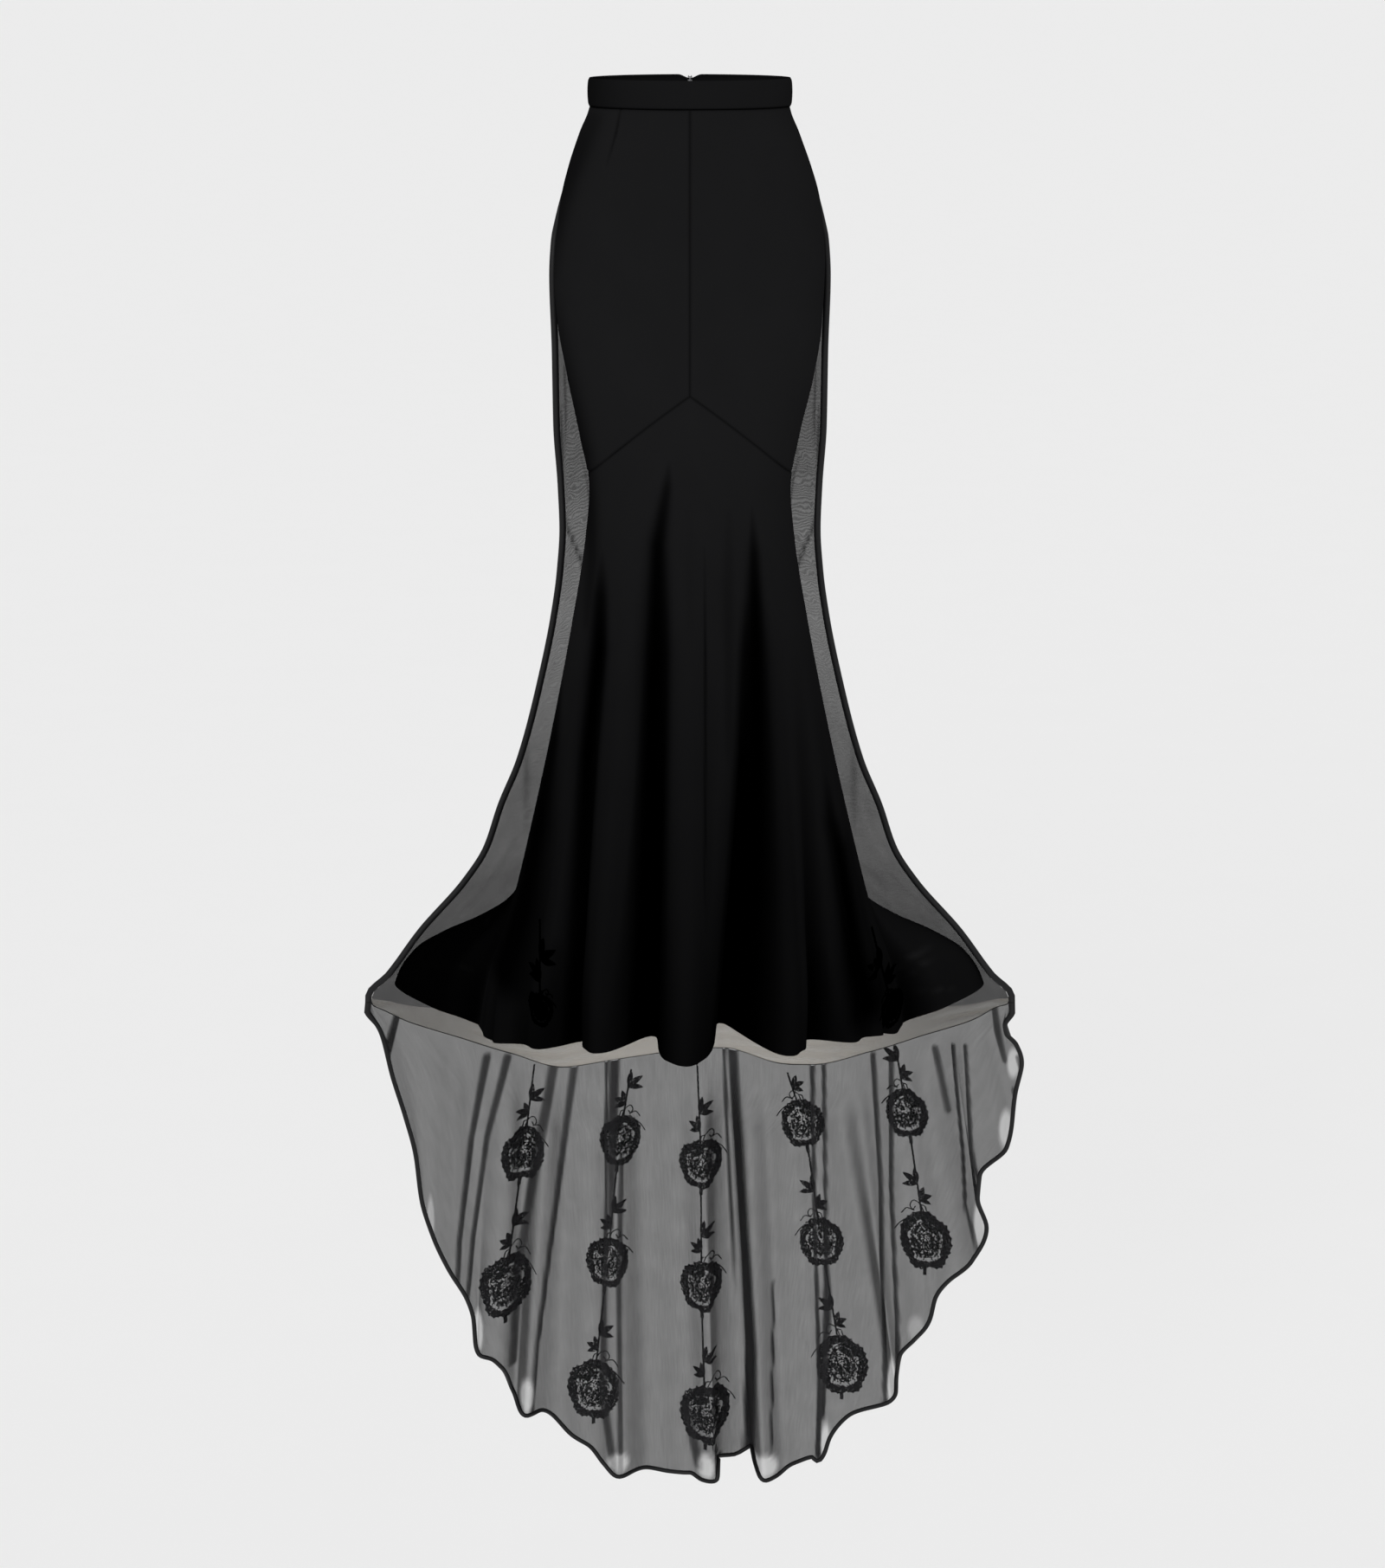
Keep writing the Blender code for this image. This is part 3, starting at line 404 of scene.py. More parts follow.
# How much of the net a pale place takes away, and the reach at which it ends.
PALE_STRENGTH = 0.9
PALE_REACH = 1.6
# Bindings, half their size each way.
BINDING_ACROSS = 0.0041
BINDING_THROUGH = 0.0026
SEAM_CORD_RADIUS = 0.0006
# How much of the table's layers a dark line of the train adds.
CREASE_STRENGTH = 0.85
# Painted shade: the crepe's colour darkens where it lies deeper than the cloth beside it, over this many
# degrees round, and is darkest where it lies this much deeper.
HOLLOW_SPREAD = 13.0
HOLLOW_DEPTH = 0.011
HOLLOW_SHADE = 0.96
# Painted light and shade down the crepe: its colour a little lighter over the hips and darker towards
# the hem, where less light falls.
CREPE_PAINTED_LIGHT = table(
    "down level",
    (0.000, 1.10),
    (0.300, 1.15),
    (0.450, 1.05),
    (0.600, 0.85),
    (0.800, 0.60),
    (1.000, 0.42),
    (1.100, 0.34),
    (1.300, 0.30),
)

# The dart in the right front panel, and its depth where it is deepest.
DART = table(
    "across down",
    (-0.0790, 0.014),
    (-0.0840, 0.041),
    (-0.0950, 0.077),
    (-0.0955, 0.090),
)
DART_DEPTH = 0.0011
DART_HALF_WIDTH = 0.0016

# Slight waves of the crepe: over the hips, and down the flounces from their top.
HIP_WAVE = 0.0006
FLOUNCE_WAVE = 0.0016
FLOUNCE_WAVE_TOP = 0.50
FLOUNCE_WAVE_RISE = 0.5
# The front's shades are pressed in this many degrees each way.
PRESSED_ANGLE = 60.0

# Creases pressed into the crepe below the chevron, seen from the front: one line for each number.
CREPE_CREASES = table(
    "line across down half_width depth",
    (1, 0.017, 0.540, 0.0020, 0.0004),
    (1, 0.018, 0.740, 0.0024, 0.0012),
    (1, 0.017, 0.950, 0.0020, 0.0004),
    (2, 0.251, 1.105, 0.0060, 0.0030),
    (2, 0.316, 1.084, 0.0040, 0.0010),
    (3, 0.285, 1.116, 0.0050, 0.0030),
    (3, 0.326, 1.085, 0.0040, 0.0010),
    (4, 0.274, 1.142, 0.0070, 0.0035),
    (4, 0.360, 1.140, 0.0050, 0.0012),
    (5, 0.274, 1.168, 0.0060, -0.0030),
    (5, 0.332, 1.153, 0.0050, -0.0010),
    (6, -0.262, 1.090, 0.0060, 0.0025),
    (6, -0.318, 1.104, 0.0050, 0.0008),
    (7, -0.268, 1.128, 0.0070, 0.0030),
    (7, -0.336, 1.146, 0.0050, 0.0008),
)

# Painted shade on the wings: how much darker each is than the front; below 0 it is painted light,
# lighter than the front. They begin this far down, and fade in over some degrees behind the side line.
WING_SHADE_RIGHT = 0.85
WING_SHADE_LEFT = -0.55
WING_TOP = 0.9
WING_FADE = 8.0
# Painted shade in the seams, where the cloth sinks in.
SEAM_SHADE = 0.40
# What is drawn on the crepe from the front stays forward of this place.
FRONT_ENDS = 0.30
# Shades over the front's hollows, side seam, wrinkles and dart, seen from the front: how black
# each is, below 0 where the cloth catches the light. They are pressed in a little as well.
SHADE_DEPTH = 0.0030
SHADE_CRISPNESS = 2.4
CREPE_SHADES = table(
    "line across down half_width shade",
    (1, -0.024, 0.420, 0.0020, 0.05),
    (1, -0.027, 0.450, 0.0060, 0.60),
    (1, -0.038, 0.518, 0.0110, 0.90),
    (1, -0.040, 0.643, 0.0180, 1.00),
    (1, -0.043, 0.768, 0.0190, 1.00),
    (1, -0.046, 0.893, 0.0210, 1.00),
    (1, -0.047, 1.017, 0.0240, 1.00),
    (1, -0.048, 1.100, 0.0260, 1.00),
    (2, -0.104, 0.530, 0.0030, 0.10),
    (2, -0.107, 0.582, 0.0090, 0.80),
    (2, -0.109, 0.643, 0.0120, 1.00),
    (2, -0.121, 0.768, 0.0140, 1.00),
    (2, -0.127, 0.893, 0.0130, 0.90),
    (2, -0.133, 1.000, 0.0130, 0.75),
    (2, -0.138, 1.100, 0.0180, 0.85),
    (3, 0.073, 0.480, 0.0020, 0.10),
    (3, 0.076, 0.531, 0.0070, 0.75),
    (3, 0.077, 0.582, 0.0100, 0.95),
    (3, 0.077, 0.643, 0.0170, 1.00),
    (3, 0.078, 0.768, 0.0240, 1.00),
    (3, 0.074, 0.893, 0.0340, 1.00),
    (3, 0.064, 1.017, 0.0420, 1.00),
    (3, 0.058, 1.100, 0.0440, 1.00),
    (4, 0.160, 0.800, 0.0030, 0.10),
    (4, 0.166, 0.850, 0.0080, 0.70),
    (4, 0.178, 0.893, 0.0120, 0.95),
    (4, 0.188, 0.954, 0.0140, 1.00),
    (4, 0.197, 1.017, 0.0180, 1.00),
    (4, 0.211, 1.070, 0.0260, 1.00),
    (5, -0.155, 0.700, 0.0030, 0.30),
    (5, -0.162, 0.758, 0.0080, 0.80),
    (5, -0.179, 0.857, 0.0160, 0.95),
    (5, -0.198, 0.958, 0.0200, 0.95),
    (5, -0.222, 1.040, 0.0260, 0.90),
    (6, -0.150, 1.000, 0.0200, 0.30),
    (6, -0.165, 1.110, 0.0360, 0.55),
    (7, 0.150, 1.000, 0.0100, 0.20),
    (7, 0.160, 1.110, 0.0300, 0.45),
    (8, 0.017, 0.520, 0.0012, 0.10),
    (8, 0.018, 0.640, 0.0017, 0.60),
    (8, 0.018, 0.850, 0.0017, 0.50),
    (8, 0.017, 0.950, 0.0012, 0.10),
    (9, 0.046, 0.480, 0.0040, 0.05),
    (9, 0.045, 0.560, 0.0080, 0.25),
    (9, 0.047, 0.700, 0.0070, 0.25),
    (9, 0.050, 0.860, 0.0060, 0.10),
    (10, -0.168, 0.200, 0.0100, 0.05),
    (10, -0.160, 0.270, 0.0160, 0.35),
    (10, -0.146, 0.350, 0.0180, 0.55),
    (10, -0.130, 0.420, 0.0160, 0.65),
    (10, -0.120, 0.480, 0.0120, 0.60),
    (10, -0.116, 0.540, 0.0090, 0.45),
    (10, -0.120, 0.620, 0.0070, 0.30),
    (12, 0.247, 1.060, 0.0020, -0.30),
    (12, 0.272, 1.050, 0.0024, -0.80),
    (12, 0.303, 1.046, 0.0020, -0.30),
    (13, 0.262, 1.074, 0.0018, -0.20),
    (13, 0.290, 1.060, 0.0022, -0.60),
    (13, 0.318, 1.052, 0.0016, -0.20),
    (14, 0.273, 1.092, 0.0018, -0.30),
    (14, 0.305, 1.096, 0.0024, -0.60),
    (14, 0.330, 1.102, 0.0018, -0.20),
    (15, -0.280, 1.014, 0.0018, -0.20),
    (15, -0.255, 1.010, 0.0022, -0.90),
    (15, -0.232, 1.013, 0.0018, -0.30),
    (16, -0.296, 1.070, 0.0018, -0.20),
    (16, -0.278, 1.062, 0.0024, -0.90),
    (16, -0.262, 1.064, 0.0018, -0.30),
    (17, -0.330, 1.075, 0.0020, -0.20),
    (17, -0.305, 1.068, 0.0024, -0.60),
    (17, -0.290, 1.072, 0.0020, -0.20),
    (18, -0.0800, 0.017, 0.0013, 0.30),
    (18, -0.0850, 0.044, 0.0016, 0.50),
    (18, -0.0960, 0.080, 0.0012, 0.15),
    (19, -0.1120, 0.030, 0.0120, 0.30),
    (19, -0.1260, 0.060, 0.0140, 0.45),
    (19, -0.1420, 0.100, 0.0140, 0.50),
    (19, -0.1560, 0.150, 0.0130, 0.45),
    (19, -0.1660, 0.210, 0.0120, 0.30),
)

# Creases of the side net, drawn on the wearer's right and mirrored on the left.
NET_CREASES = table(
    "line across down half_width cover",
    (1, 0.152, 0.500, 0.0012, 0.02),
    (1, 0.146, 0.530, 0.0015, 0.18),
    (1, 0.130, 0.578, 0.0016, 0.18),
    (2, 0.140, 0.556, 0.0012, 0.02),
    (2, 0.131, 0.580, 0.0014, 0.17),
    (3, 0.150, 0.325, 0.0012, 0.10),
    (3, 0.149, 0.390, 0.0014, 0.10),
    (3, 0.150, 0.425, 0.0012, 0.02),
    (4, 0.154, 0.375, 0.0012, 0.08),
    (4, 0.153, 0.430, 0.0015, 0.15),
    (4, 0.152, 0.485, 0.0012, 0.02),
    (5, 0.132, 0.440, 0.0014, 0.03),
    (5, 0.125, 0.470, 0.0016, 0.10),
    (5, 0.122, 0.500, 0.0014, 0.10),
    (6, 0.199, 0.770, 0.0030, 0.02),
    (6, 0.203, 0.840, 0.0040, 0.08),
    (6, 0.206, 0.930, 0.0040, 0.02),
)
# Down the side net: how strong its ripples are, and how close its mesh lies.
NET_RIPPLE = table(
    "down strength cover",
    (0.000, 0.0, 1.05),
    (0.300, 0.4, 1.08),
    (0.426, 0.9, 1.07),
    (0.470, 1.0, 1.05),
    (0.520, 1.0, 0.99),
    (0.585, 0.9, 0.97),
    (0.615, 0.8, 0.93),
    (0.690, 0.6, 0.95),
    (0.760, 0.4, 0.99),
    (0.820, 0.3, 1.03),
    (0.880, 0.3, 1.06),
    (0.940, 0.2, 1.06),
    (1.000, 0.2, 1.12),
    (1.300, 0.2, 1.18),
)

# Dark lines down the train, where its folds lie double. Layers is how many nets thick each is.
TRAIN_CREASES = table(
    "line across down half_width layers",
    (1, -0.265, 1.256, 0.0050, 1.7),
    (1, -0.286, 1.364, 0.0035, 1.8),
    (1, -0.303, 1.503, 0.0030, 1.9),
    (1, -0.307, 1.600, 0.0025, 1.6),
    (1, -0.291, 1.673, 0.0020, 1.3),
    (2, -0.239, 1.262, 0.0050, 1.7),
    (2, -0.266, 1.368, 0.0035, 1.7),
    (2, -0.286, 1.503, 0.0028, 1.9),
    (2, -0.295, 1.600, 0.0024, 1.7),
    (2, -0.274, 1.704, 0.0020, 1.6),
    (3, -0.385, 1.206, 0.0040, 1.7),
    (3, -0.401, 1.276, 0.0040, 1.3),
    (4, -0.179, 1.277, 0.0060, 1.5),
    (4, -0.229, 1.563, 0.0060, 1.6),
    (4, -0.238, 1.700, 0.0050, 1.4),
    (5, -0.152, 1.279, 0.0050, 1.4),
    (5, -0.189, 1.551, 0.0030, 2.0),
    (5, -0.205, 1.673, 0.0026, 2.6),
    (5, -0.213, 1.780, 0.0026, 2.8),
    (6, -0.100, 1.270, 0.0065, 2.0),
    (6, -0.104, 1.400, 0.0060, 2.0),
    (6, -0.106, 1.520, 0.0030, 1.5),
    (7, -0.111, 1.270, 0.0018, 2.2),
    (7, -0.112, 1.500, 0.0020, 2.0),
    (7, -0.118, 1.760, 0.0050, 1.5),
    (7, -0.103, 1.868, 0.0050, 1.4),
    (8, -0.092, 1.420, 0.0030, 1.5),
    (8, -0.096, 1.600, 0.0035, 1.6),
    (8, -0.095, 1.868, 0.0035, 1.5),
    (9, 0.055, 1.254, 0.0060, 2.2),
    (9, 0.066, 1.420, 0.0050, 2.8),
    (9, 0.076, 1.576, 0.0050, 3.2),
    (9, 0.083, 1.702, 0.0062, 3.8),
    (9, 0.081, 1.860, 0.0066, 4.2),
    (10, 0.044, 1.254, 0.0022, 2.0),
    (10, 0.057, 1.576, 0.0020, 2.2),
    (10, 0.066, 1.797, 0.0018, 1.4),
    (11, 0.111, 1.600, 0.0016, 1.4),
    (11, 0.111, 1.673, 0.0014, 3.0),
    (11, 0.109, 1.850, 0.0014, 2.6),
    (12, 0.161, 1.273, 0.0030, 2.0),
    (12, 0.166, 1.503, 0.0022, 2.2),
    (12, 0.174, 1.747, 0.0026, 2.4),
    (12, 0.173, 1.850, 0.0030, 3.2),
    (13, 0.176, 1.273, 0.0026, 1.9),
    (13, 0.181, 1.503, 0.0022, 1.8),
    (13, 0.184, 1.640, 0.0050, 2.6),
    (13, 0.178, 1.790, 0.0030, 2.6),
    (14, 0.239, 1.257, 0.0032, 1.9),
    (14, 0.252, 1.442, 0.0028, 2.0),
    (14, 0.258, 1.640, 0.0026, 1.9),
    (14, 0.262, 1.760, 0.0030, 1.7),
    (15, 0.262, 1.255, 0.0030, 1.8),
    (15, 0.265, 1.440, 0.0026, 2.0),
    (15, 0.276, 1.640, 0.0026, 2.2),
    (15, 0.279, 1.735, 0.0030, 2.4),
    (16, 0.338, 1.221, 0.0022, 2.4),
    (16, 0.354, 1.376, 0.0020, 2.4),
    (16, 0.358, 1.448, 0.0022, 2.2),
    (16, 0.380, 1.527, 0.0024, 1.5),
    (17, 0.352, 1.215, 0.0022, 1.8),
    (17, 0.363, 1.358, 0.0022, 2.0),
    (17, 0.383, 1.454, 0.0022, 2.4),
    (17, 0.391, 1.491, 0.0020, 2.4),
    (18, 0.316, 1.231, 0.0040, 1.5),
    (18, 0.334, 1.316, 0.0040, 1.2),
    (19, 0.416, 1.215, 0.0040, 2.0),
    (19, 0.431, 1.277, 0.0030, 1.8),
    (20, 0.412, 1.264, 0.0030, 1.2),
    (20, 0.424, 1.316, 0.0030, 1.9),
    (20, 0.437, 1.322, 0.0030, 1.7),
    (21, -0.007, 1.780, 0.0060, 1.1),
    (21, 0.012, 1.873, 0.0060, 1.6),
    (22, 0.027, 1.827, 0.0014, 2.2),
    (22, 0.039, 1.865, 0.0014, 2.2),
    (23, -0.366, 1.146, 0.0035, 1.9),
    (23, -0.374, 1.172, 0.0040, 2.2),
    (23, -0.382, 1.200, 0.0050, 2.4),
    (23, -0.388, 1.225, 0.0040, 1.6),
    (24, 0.384, 1.146, 0.0035, 1.5),
    (24, 0.390, 1.185, 0.0040, 1.8),
    (24, 0.400, 1.225, 0.0030, 1.3),
)

# Pale places at the train's hem, where a fold opens and one net alone is seen.
TRAIN_PALE = table(
    "across down half_width half_height share",
    (-0.281, 1.640, 0.006, 0.030, 0.80),
    (-0.219, 1.748, 0.009, 0.024, 0.75),
    (-0.098, 1.858, 0.014, 0.014, 0.75),
    (0.021, 1.872, 0.011, 0.019, 0.80),
    (0.103, 1.866, 0.016, 0.017, 0.80),
    (0.183, 1.828, 0.006, 0.027, 0.80),
    (0.270, 1.728, 0.006, 0.030, 0.80),
    (0.378, 1.472, 0.008, 0.036, 0.75),
    (0.404, 1.322, 0.008, 0.026, 0.70),
    (0.410, 1.225, 0.007, 0.022, 0.70),
    (-0.336, 1.455, 0.004, 0.030, 0.50),
    (0.300, 1.640, 0.010, 0.020, 0.40),
)

# A lace rose is drawn in strips, each an arc round its middle: degrees turned from its right,
# and shares of its half size.
PETALS = table(
    "start stop radius half_width",
    (94, 180, 0.83, 0.190),
    (172, 230, 0.82, 0.185),
    (222, 286, 0.84, 0.160),
    (278, 334, 0.84, 0.155),
    (328, 390, 0.83, 0.170),
    (18, 70, 0.78, 0.205),
    (58, 112, 0.77, 0.215),
    (34, 104, 0.48, 0.140),
    (116, 158, 0.49, 0.050),
    (168, 208, 0.48, 0.060),
    (214, 256, 0.49, 0.055),
    (266, 310, 0.49, 0.055),
    (322, 372, 0.48, 0.055),
    (190, 236, 0.31, 0.055),
    (250, 300, 0.30, 0.050),
    (314, 366, 0.29, 0.055),
    (-10, 76, 0.24, 0.065),
    (124, 170, 0.28, 0.040),
    (190, 330, 0.10, 0.055),
)
# The curl and tendrils over its shoulder, in shares of its half size.
TENDRILS = table(
    "line across up",
    (1, 0.10, 0.96),
    (1, 0.26, 1.20),
    (1, 0.50, 1.30),
    (1, 0.64, 1.12),
    (1, 0.52, 0.98),
    (1, 0.42, 1.10),
    (2, 0.46, 0.96),
    (2, 0.74, 1.02),
    (2, 0.98, 0.80),
    (3, 0.78, 0.66),
    (3, 1.02, 0.46),
    (3, 1.22, 0.20),
    (4, -0.02, 0.96),
    (4, 0.06, 1.14),
    (4, 0.20, 1.16),
)
# Leaves on a stem: above the rose's top, side and slant of each leaflet, its length and half width.
LEAFLETS = table(
    "above side slant length half_width",
    (0.0370, 1, 78, 0.0215, 0.0037),
    (0.0365, 1, 36, 0.0235, 0.0042),
    (0.0360, 1, -6, 0.0195, 0.0039),
    (0.0140, -1, 76, 0.0190, 0.0035),
    (0.0135, -1, 36, 0.0180, 0.0039),
    (0.0130, -1, -8, 0.0140, 0.0035),
)
# The train's binding faces outwards over this many degrees each way. It is narrower than the side
# bindings by a share, which is reached a little way in from the corners.
BINDING_FAN = 20.0
HEM_NARROWER = 0.28
HEM_NARROWS_OVER = 0.03
BINDING_ROWS = 170
# The train's own grid: how far apart its columns are, as a share of half its width, and its rows.
TRAIN_STEP = 0.0046
TRAIN_ROWS = 90

# Lace: how far it lies off its ground, how thick it is and that thickness across a strip, and the
# half widths of its cords.
LACE_LIFT = 0.0003
LACE_THICKNESS = 0.0009
STRIP_HEIGHTS = LACE_THICKNESS * np.array((0.45, 1.0, 0.45))
# It is dropped on its ground from this far off, past every piece.
DROP_FROM = 2.0
CORD_HALF_WIDTH = 0.0007
STEM_HALF_WIDTH = 0.0012
STUB_HALF_WIDTH = 0.0023
STUB_LENGTH = 0.0130
STEM_SWAY = 0.0003
# Where the stem goes under a rose, where its stub leaves it, and the rose's foot, in shares of its
# half height.
STEM_UNDER = 0.90
STUB_UNDER = 0.72
HEAD_FOOT = 0.98
LEAF_POINTS = 8
LEAF_ARCH = 0.0010

# A rose's head: how square it is, how much narrower at its foot, and how deep its five lobes are.
HEAD_POWER = 0.86
HEAD_NARROWING = 0.14
HEAD_LOBES = 0.035
# How much each petal's width goes in and out.
PETAL_SCALLOP = 0.20
# Short cords that cross the ring between the border and the heart, in shares of its half size.
RING_CORDS = 26
RING_REACH = (0.48, 0.68)
# Longer ones that wander through the heart.
HEART_CORDS = 11
HEART_REACH = (0.16, 0.34, 0.52)
# The rings of the fine mesh behind them.
MESH_RINGS = (0.03, 0.22, 0.42, 0.61)

# The zip's tape, inside the back panels.
TAPE_HALF_WIDTH = 0.007
TAPE_FOOT = 0.205
TAPE_INSET = 0.0028
TAPE_THICKNESS = 0.0009
TAPE_COLUMNS = 18
TAPE_ROWS = 90

# The camera, tilted down a little, and where the key light comes from.
CAMERA_LENS = 97.4
CAMERA_SENSOR = 36.0
CAMERA_PLACE = (0.003, -5.0, 0.247)
CAMERA_TILT = 12.1
KEY_TILT = 76.0
KEY_TURN = -10.0
KEY_SPREAD = 14.0

# Faint black roses on the black cloth, beside the wings.
BLACK_ROSES = table(
    "side across down half_width half_height stem_across stem_down",
    (-1, -0.176, 1.060, 0.0150, 0.0190, -0.178, 0.965),
    (1, 0.245, 1.097, 0.0150, 0.0200, 0.219, 0.995),
)


def along(rows, key, column, at):
    """The column's value at each place along the key, by a cubic that never overshoots its rows."""
    x, y = rows[key], rows[column]
    at = np.clip(at, x[0], x[-1])
    step = np.diff(x)
    slope = np.diff(y) / step
    tangent = np.zeros(len(x))
    tangent[0], tangent[-1] = slope[0], slope[-1]
    for i in range(1, len(x) - 1):
        if slope[i - 1] * slope[i] > 0:
            near = 2 * step[i] + step[i - 1]
            far = step[i] + 2 * step[i - 1]
            tangent[i] = (near + far) / (near / slope[i - 1] + far / slope[i])
    i = np.clip(np.searchsorted(x, at, side="right") - 1, 0, len(x) - 2)
    t = (at - x[i]) / step[i]
    rise = step[i] * ((t**3 - 2 * t**2 + t) * tangent[i] + (t**3 - t**2) * tangent[i + 1])
    return (2 * t**3 - 3 * t**2 + 1) * y[i] + (3 * t**2 - 2 * t**3) * y[i + 1] + rise


def bump(distance, half_width):
    """A smooth bump, 1 at distance 0 and 0 past the half width."""
    share = np.clip(np.abs(distance) / half_width, 0, 1)
    return (1 + np.cos(math.pi * share)) / 2


def hem_down(angle):
    return along(HEM, "angle", "down", angle)


def chevron_down(angle):
    """The seam between the upper panels and the flounces, highest at the centre front and back."""
    return CHEVRON_PEAK + CHEVRON_FALL * np.abs(np.sin(np.radians(angle)))


def skirt_surface(angle, down):
    """The opaque skirt's outer surface."""
    hem = hem_down(angle)
    reach = np.ones_like(angle)
    for top, low, half, depth, start in zip(*FLOUNCE_FOLDS.values()):
        grown = np.clip((down - start) / (hem - start), 0, 1.1)
        centre = top + (low - top) * grown
        reach = reach + depth * grown**1.1 * bump(angle - centre, half)
    rise = along(SWEEP_RISE, "down", "share", down)
    reach = reach + rise * along(SWEEP_REACH, "angle", "reach", np.abs(angle))
    turn = np.radians(angle)
    half_width = along(BODY, "down", "half_width", down) * reach
    front = along(BODY, "down", "front", down) * reach
    back = along(BODY, "down", "back", down) * reach
    y = -np.cos(turn) * np.where(np.cos(turn) > 0, front, back)
    return np.stack([half_width * np.sin(turn), y, -down], axis=-1)


def band_surface(angle, down):
    """The waistband's outer surface, slightly bulged."""
    swell = BAND_BULGE * (1 - (2 * down / BAND_HEIGHT) ** 2)
    turn = np.radians(angle)
    depth = np.where(np.cos(turn) > 0, BAND_FRONT, BAND_BACK) + swell
    across = BAND_HALF_WIDTH - BAND_BULGE + swell
    return np.stack([across * np.sin(turn), -np.cos(turn) * depth, -down], axis=-1)


def net_surface(side, down):
    """The net's outer surface, round the back from edge to edge."""
    turn = np.radians(90 * side)
    half_width = along(NET, "down", "half_width", down)
    edge = along(NET, "down", "edge", down)
    back = along(NET, "down", "back", down)
    roundness = along(NET, "down", "roundness", down)
    behind = (back - edge) * np.clip(np.cos(turn), 0, 1) ** roundness
    free = np.stack([half_width * np.sin(turn), edge + behind, -down], axis=-1)
    turn = np.radians(NET_SEWN_ANGLE * side)
    across = along(BODY, "down", "half_width", down) + NET_SEWN_LIFT
    depth = along(BODY, "down", "back", down) + NET_SEWN_LIFT
    caught = np.stack([across * np.sin(turn), depth * np.cos(turn), -down], axis=-1)
    hug = along(NET, "down", "hug", down)[..., None]
    return free * (1 - hug) + caught * hug


def seam_down(side):
    return along(TRAIN_SEAM, "side", "down", side)


def band_top(side):
    """The lower edge of the net, where the pale band is sewn on."""
    return seam_down(side) - along(TRAIN_SEAM, "side", "band", side)


def train_surface(side, fall):
    """The train's outer surface, hanging from the net's lower seam. Its hem's place across and down
    is where the hem's table puts it, folds and all."""
    top = net_surface(side, seam_down(side) + TRAIN_TOP_GAP)
    hem_z = -along(TRAIN_HEM, "side", "down", side)
    drop = np.clip((top[..., 2] - hem_z) / FOLD_FULL_DROP, 0, 1)
    wave = np.zeros_like(side)
    for centre, half, depth in zip(*TRAIN_FOLDS.values()):
        wave = wave + depth * bump(side - centre, half)
    turn = np.radians(FOLD_FAN * side)
    shift = -wave * drop
    hem_x = along(TRAIN_HEM, "side", "across", side) - shift * np.sin(turn)
    hem_y = top[..., 1] + TRAIN_LEAN * (top[..., 2] - hem_z)
    hem = np.stack([hem_x, hem_y, hem_z], axis=-1)
    place = top + (hem - top) * fall[..., None]
    settle = np.clip(fall / FOLD_SETTLED, 0, 1) ** 1.5
    settle = settle * (FOLD_FIRST_DEPTH + (1 - FOLD_FIRST_DEPTH) * fall)
    place[..., 0] += shift * settle * np.sin(turn)
    place[..., 1] += shift * settle * np.cos(turn)
    return place


def unit(vectors):
    return vectors / np.linalg.norm(vectors, axis=-1, keepdims=True)


def grid_normals(points):
    """Unit normals of a grid whose rows go down and columns go right, on the side it is seen from."""
    return unit(np.cross(np.gradient(points, axis=0), np.gradient(points, axis=1)))


def arcs(points):
    """How far each point lies from the grid's left edge along its row, and from its top edge."""
    across = np.linalg.norm(np.diff(points, axis=1), axis=-1)
    down = np.linalg.norm(np.diff(points, axis=0), axis=-1)
    return np.pad(across.cumsum(axis=1), ((0, 0), (1, 0))), np.pad(down.cumsum(axis=0), ((1, 0), (0, 0)))


def spaced(length, count):
    """Shares from 0 to 1, closer together at both ends, where the cloth sinks into its seams."""
    near = np.array((0.0, 0.0006, 0.0014, 0.0026, 0.0045)) / length
    between = np.linspace(near[-1], 1 - near[-1], count)
    return np.concatenate([near, between[1:-1], 1 - near[::-1]])


def sewn(points, edges, depth=SEAM_DEPTH, reach=SEAM_REACH):
    """How far each point of a grid sinks into the seams along the named edges."""
    across, down = arcs(points)
    gaps = {"left": across, "right": across[:, -1:] - across, "top": down, "bottom": down[-1:] - down}
    sunk = np.zeros(points.shape[:2])
    for edge in edges:
        sunk = np.maximum(sunk, np.exp(-((gaps[edge] / reach) ** 2)))
    return -depth * sunk


def lines(rows):
    """The numbered lines of a table, each a table of its own."""
    for number in np.unique(rows["line"]):
        chosen = rows["line"] == number
        yield {key: column[chosen] for key, column in rows.items()}


def near_line(points, line, mirrored=1):
    """How far each point is from a line, both seen from the front, and which share of it is near."""
    across, down = points[..., 0] * mirrored, -points[..., 2]
    best = np.full(across.shape, np.inf)
    place = np.zeros(across.shape)
    for i in range(len(line["across"]) - 1):
        run = line["across"][i + 1] - line["across"][i], line["down"][i + 1] - line["down"][i]
        share = (across - line["across"][i]) * run[0] + (down - line["down"][i]) * run[1]
        share = np.clip(share / (run[0] ** 2 + run[1] ** 2), 0, 1)
        off = across - line["across"][i] - share * run[0]
        gap = np.hypot(off, down - line["down"][i] - share * run[1])
        place = np.where(gap < best, i + share, place)
        best = np.minimum(gap, best)
    return best, place


def drawn(points, rows, value, mirrored=1, crispness=2):
    """The strongest of a table's lines at each point: its value there, fading to nothing beside it.
    A higher crispness makes each line flatter across, with a sharper edge."""
    total = np.zeros(points.shape[:2])
    for line in lines(rows):
        gap, place = near_line(points, line, mirrored)
        steps = np.arange(len(line["across"]))
        width = np.interp(place, steps, line["half_width"])
        strength = np.interp(place, steps, line[value]) * np.exp(-((gap / width) ** crispness))
        total = np.where(np.abs(strength) > np.abs(total), strength, total)
    return total


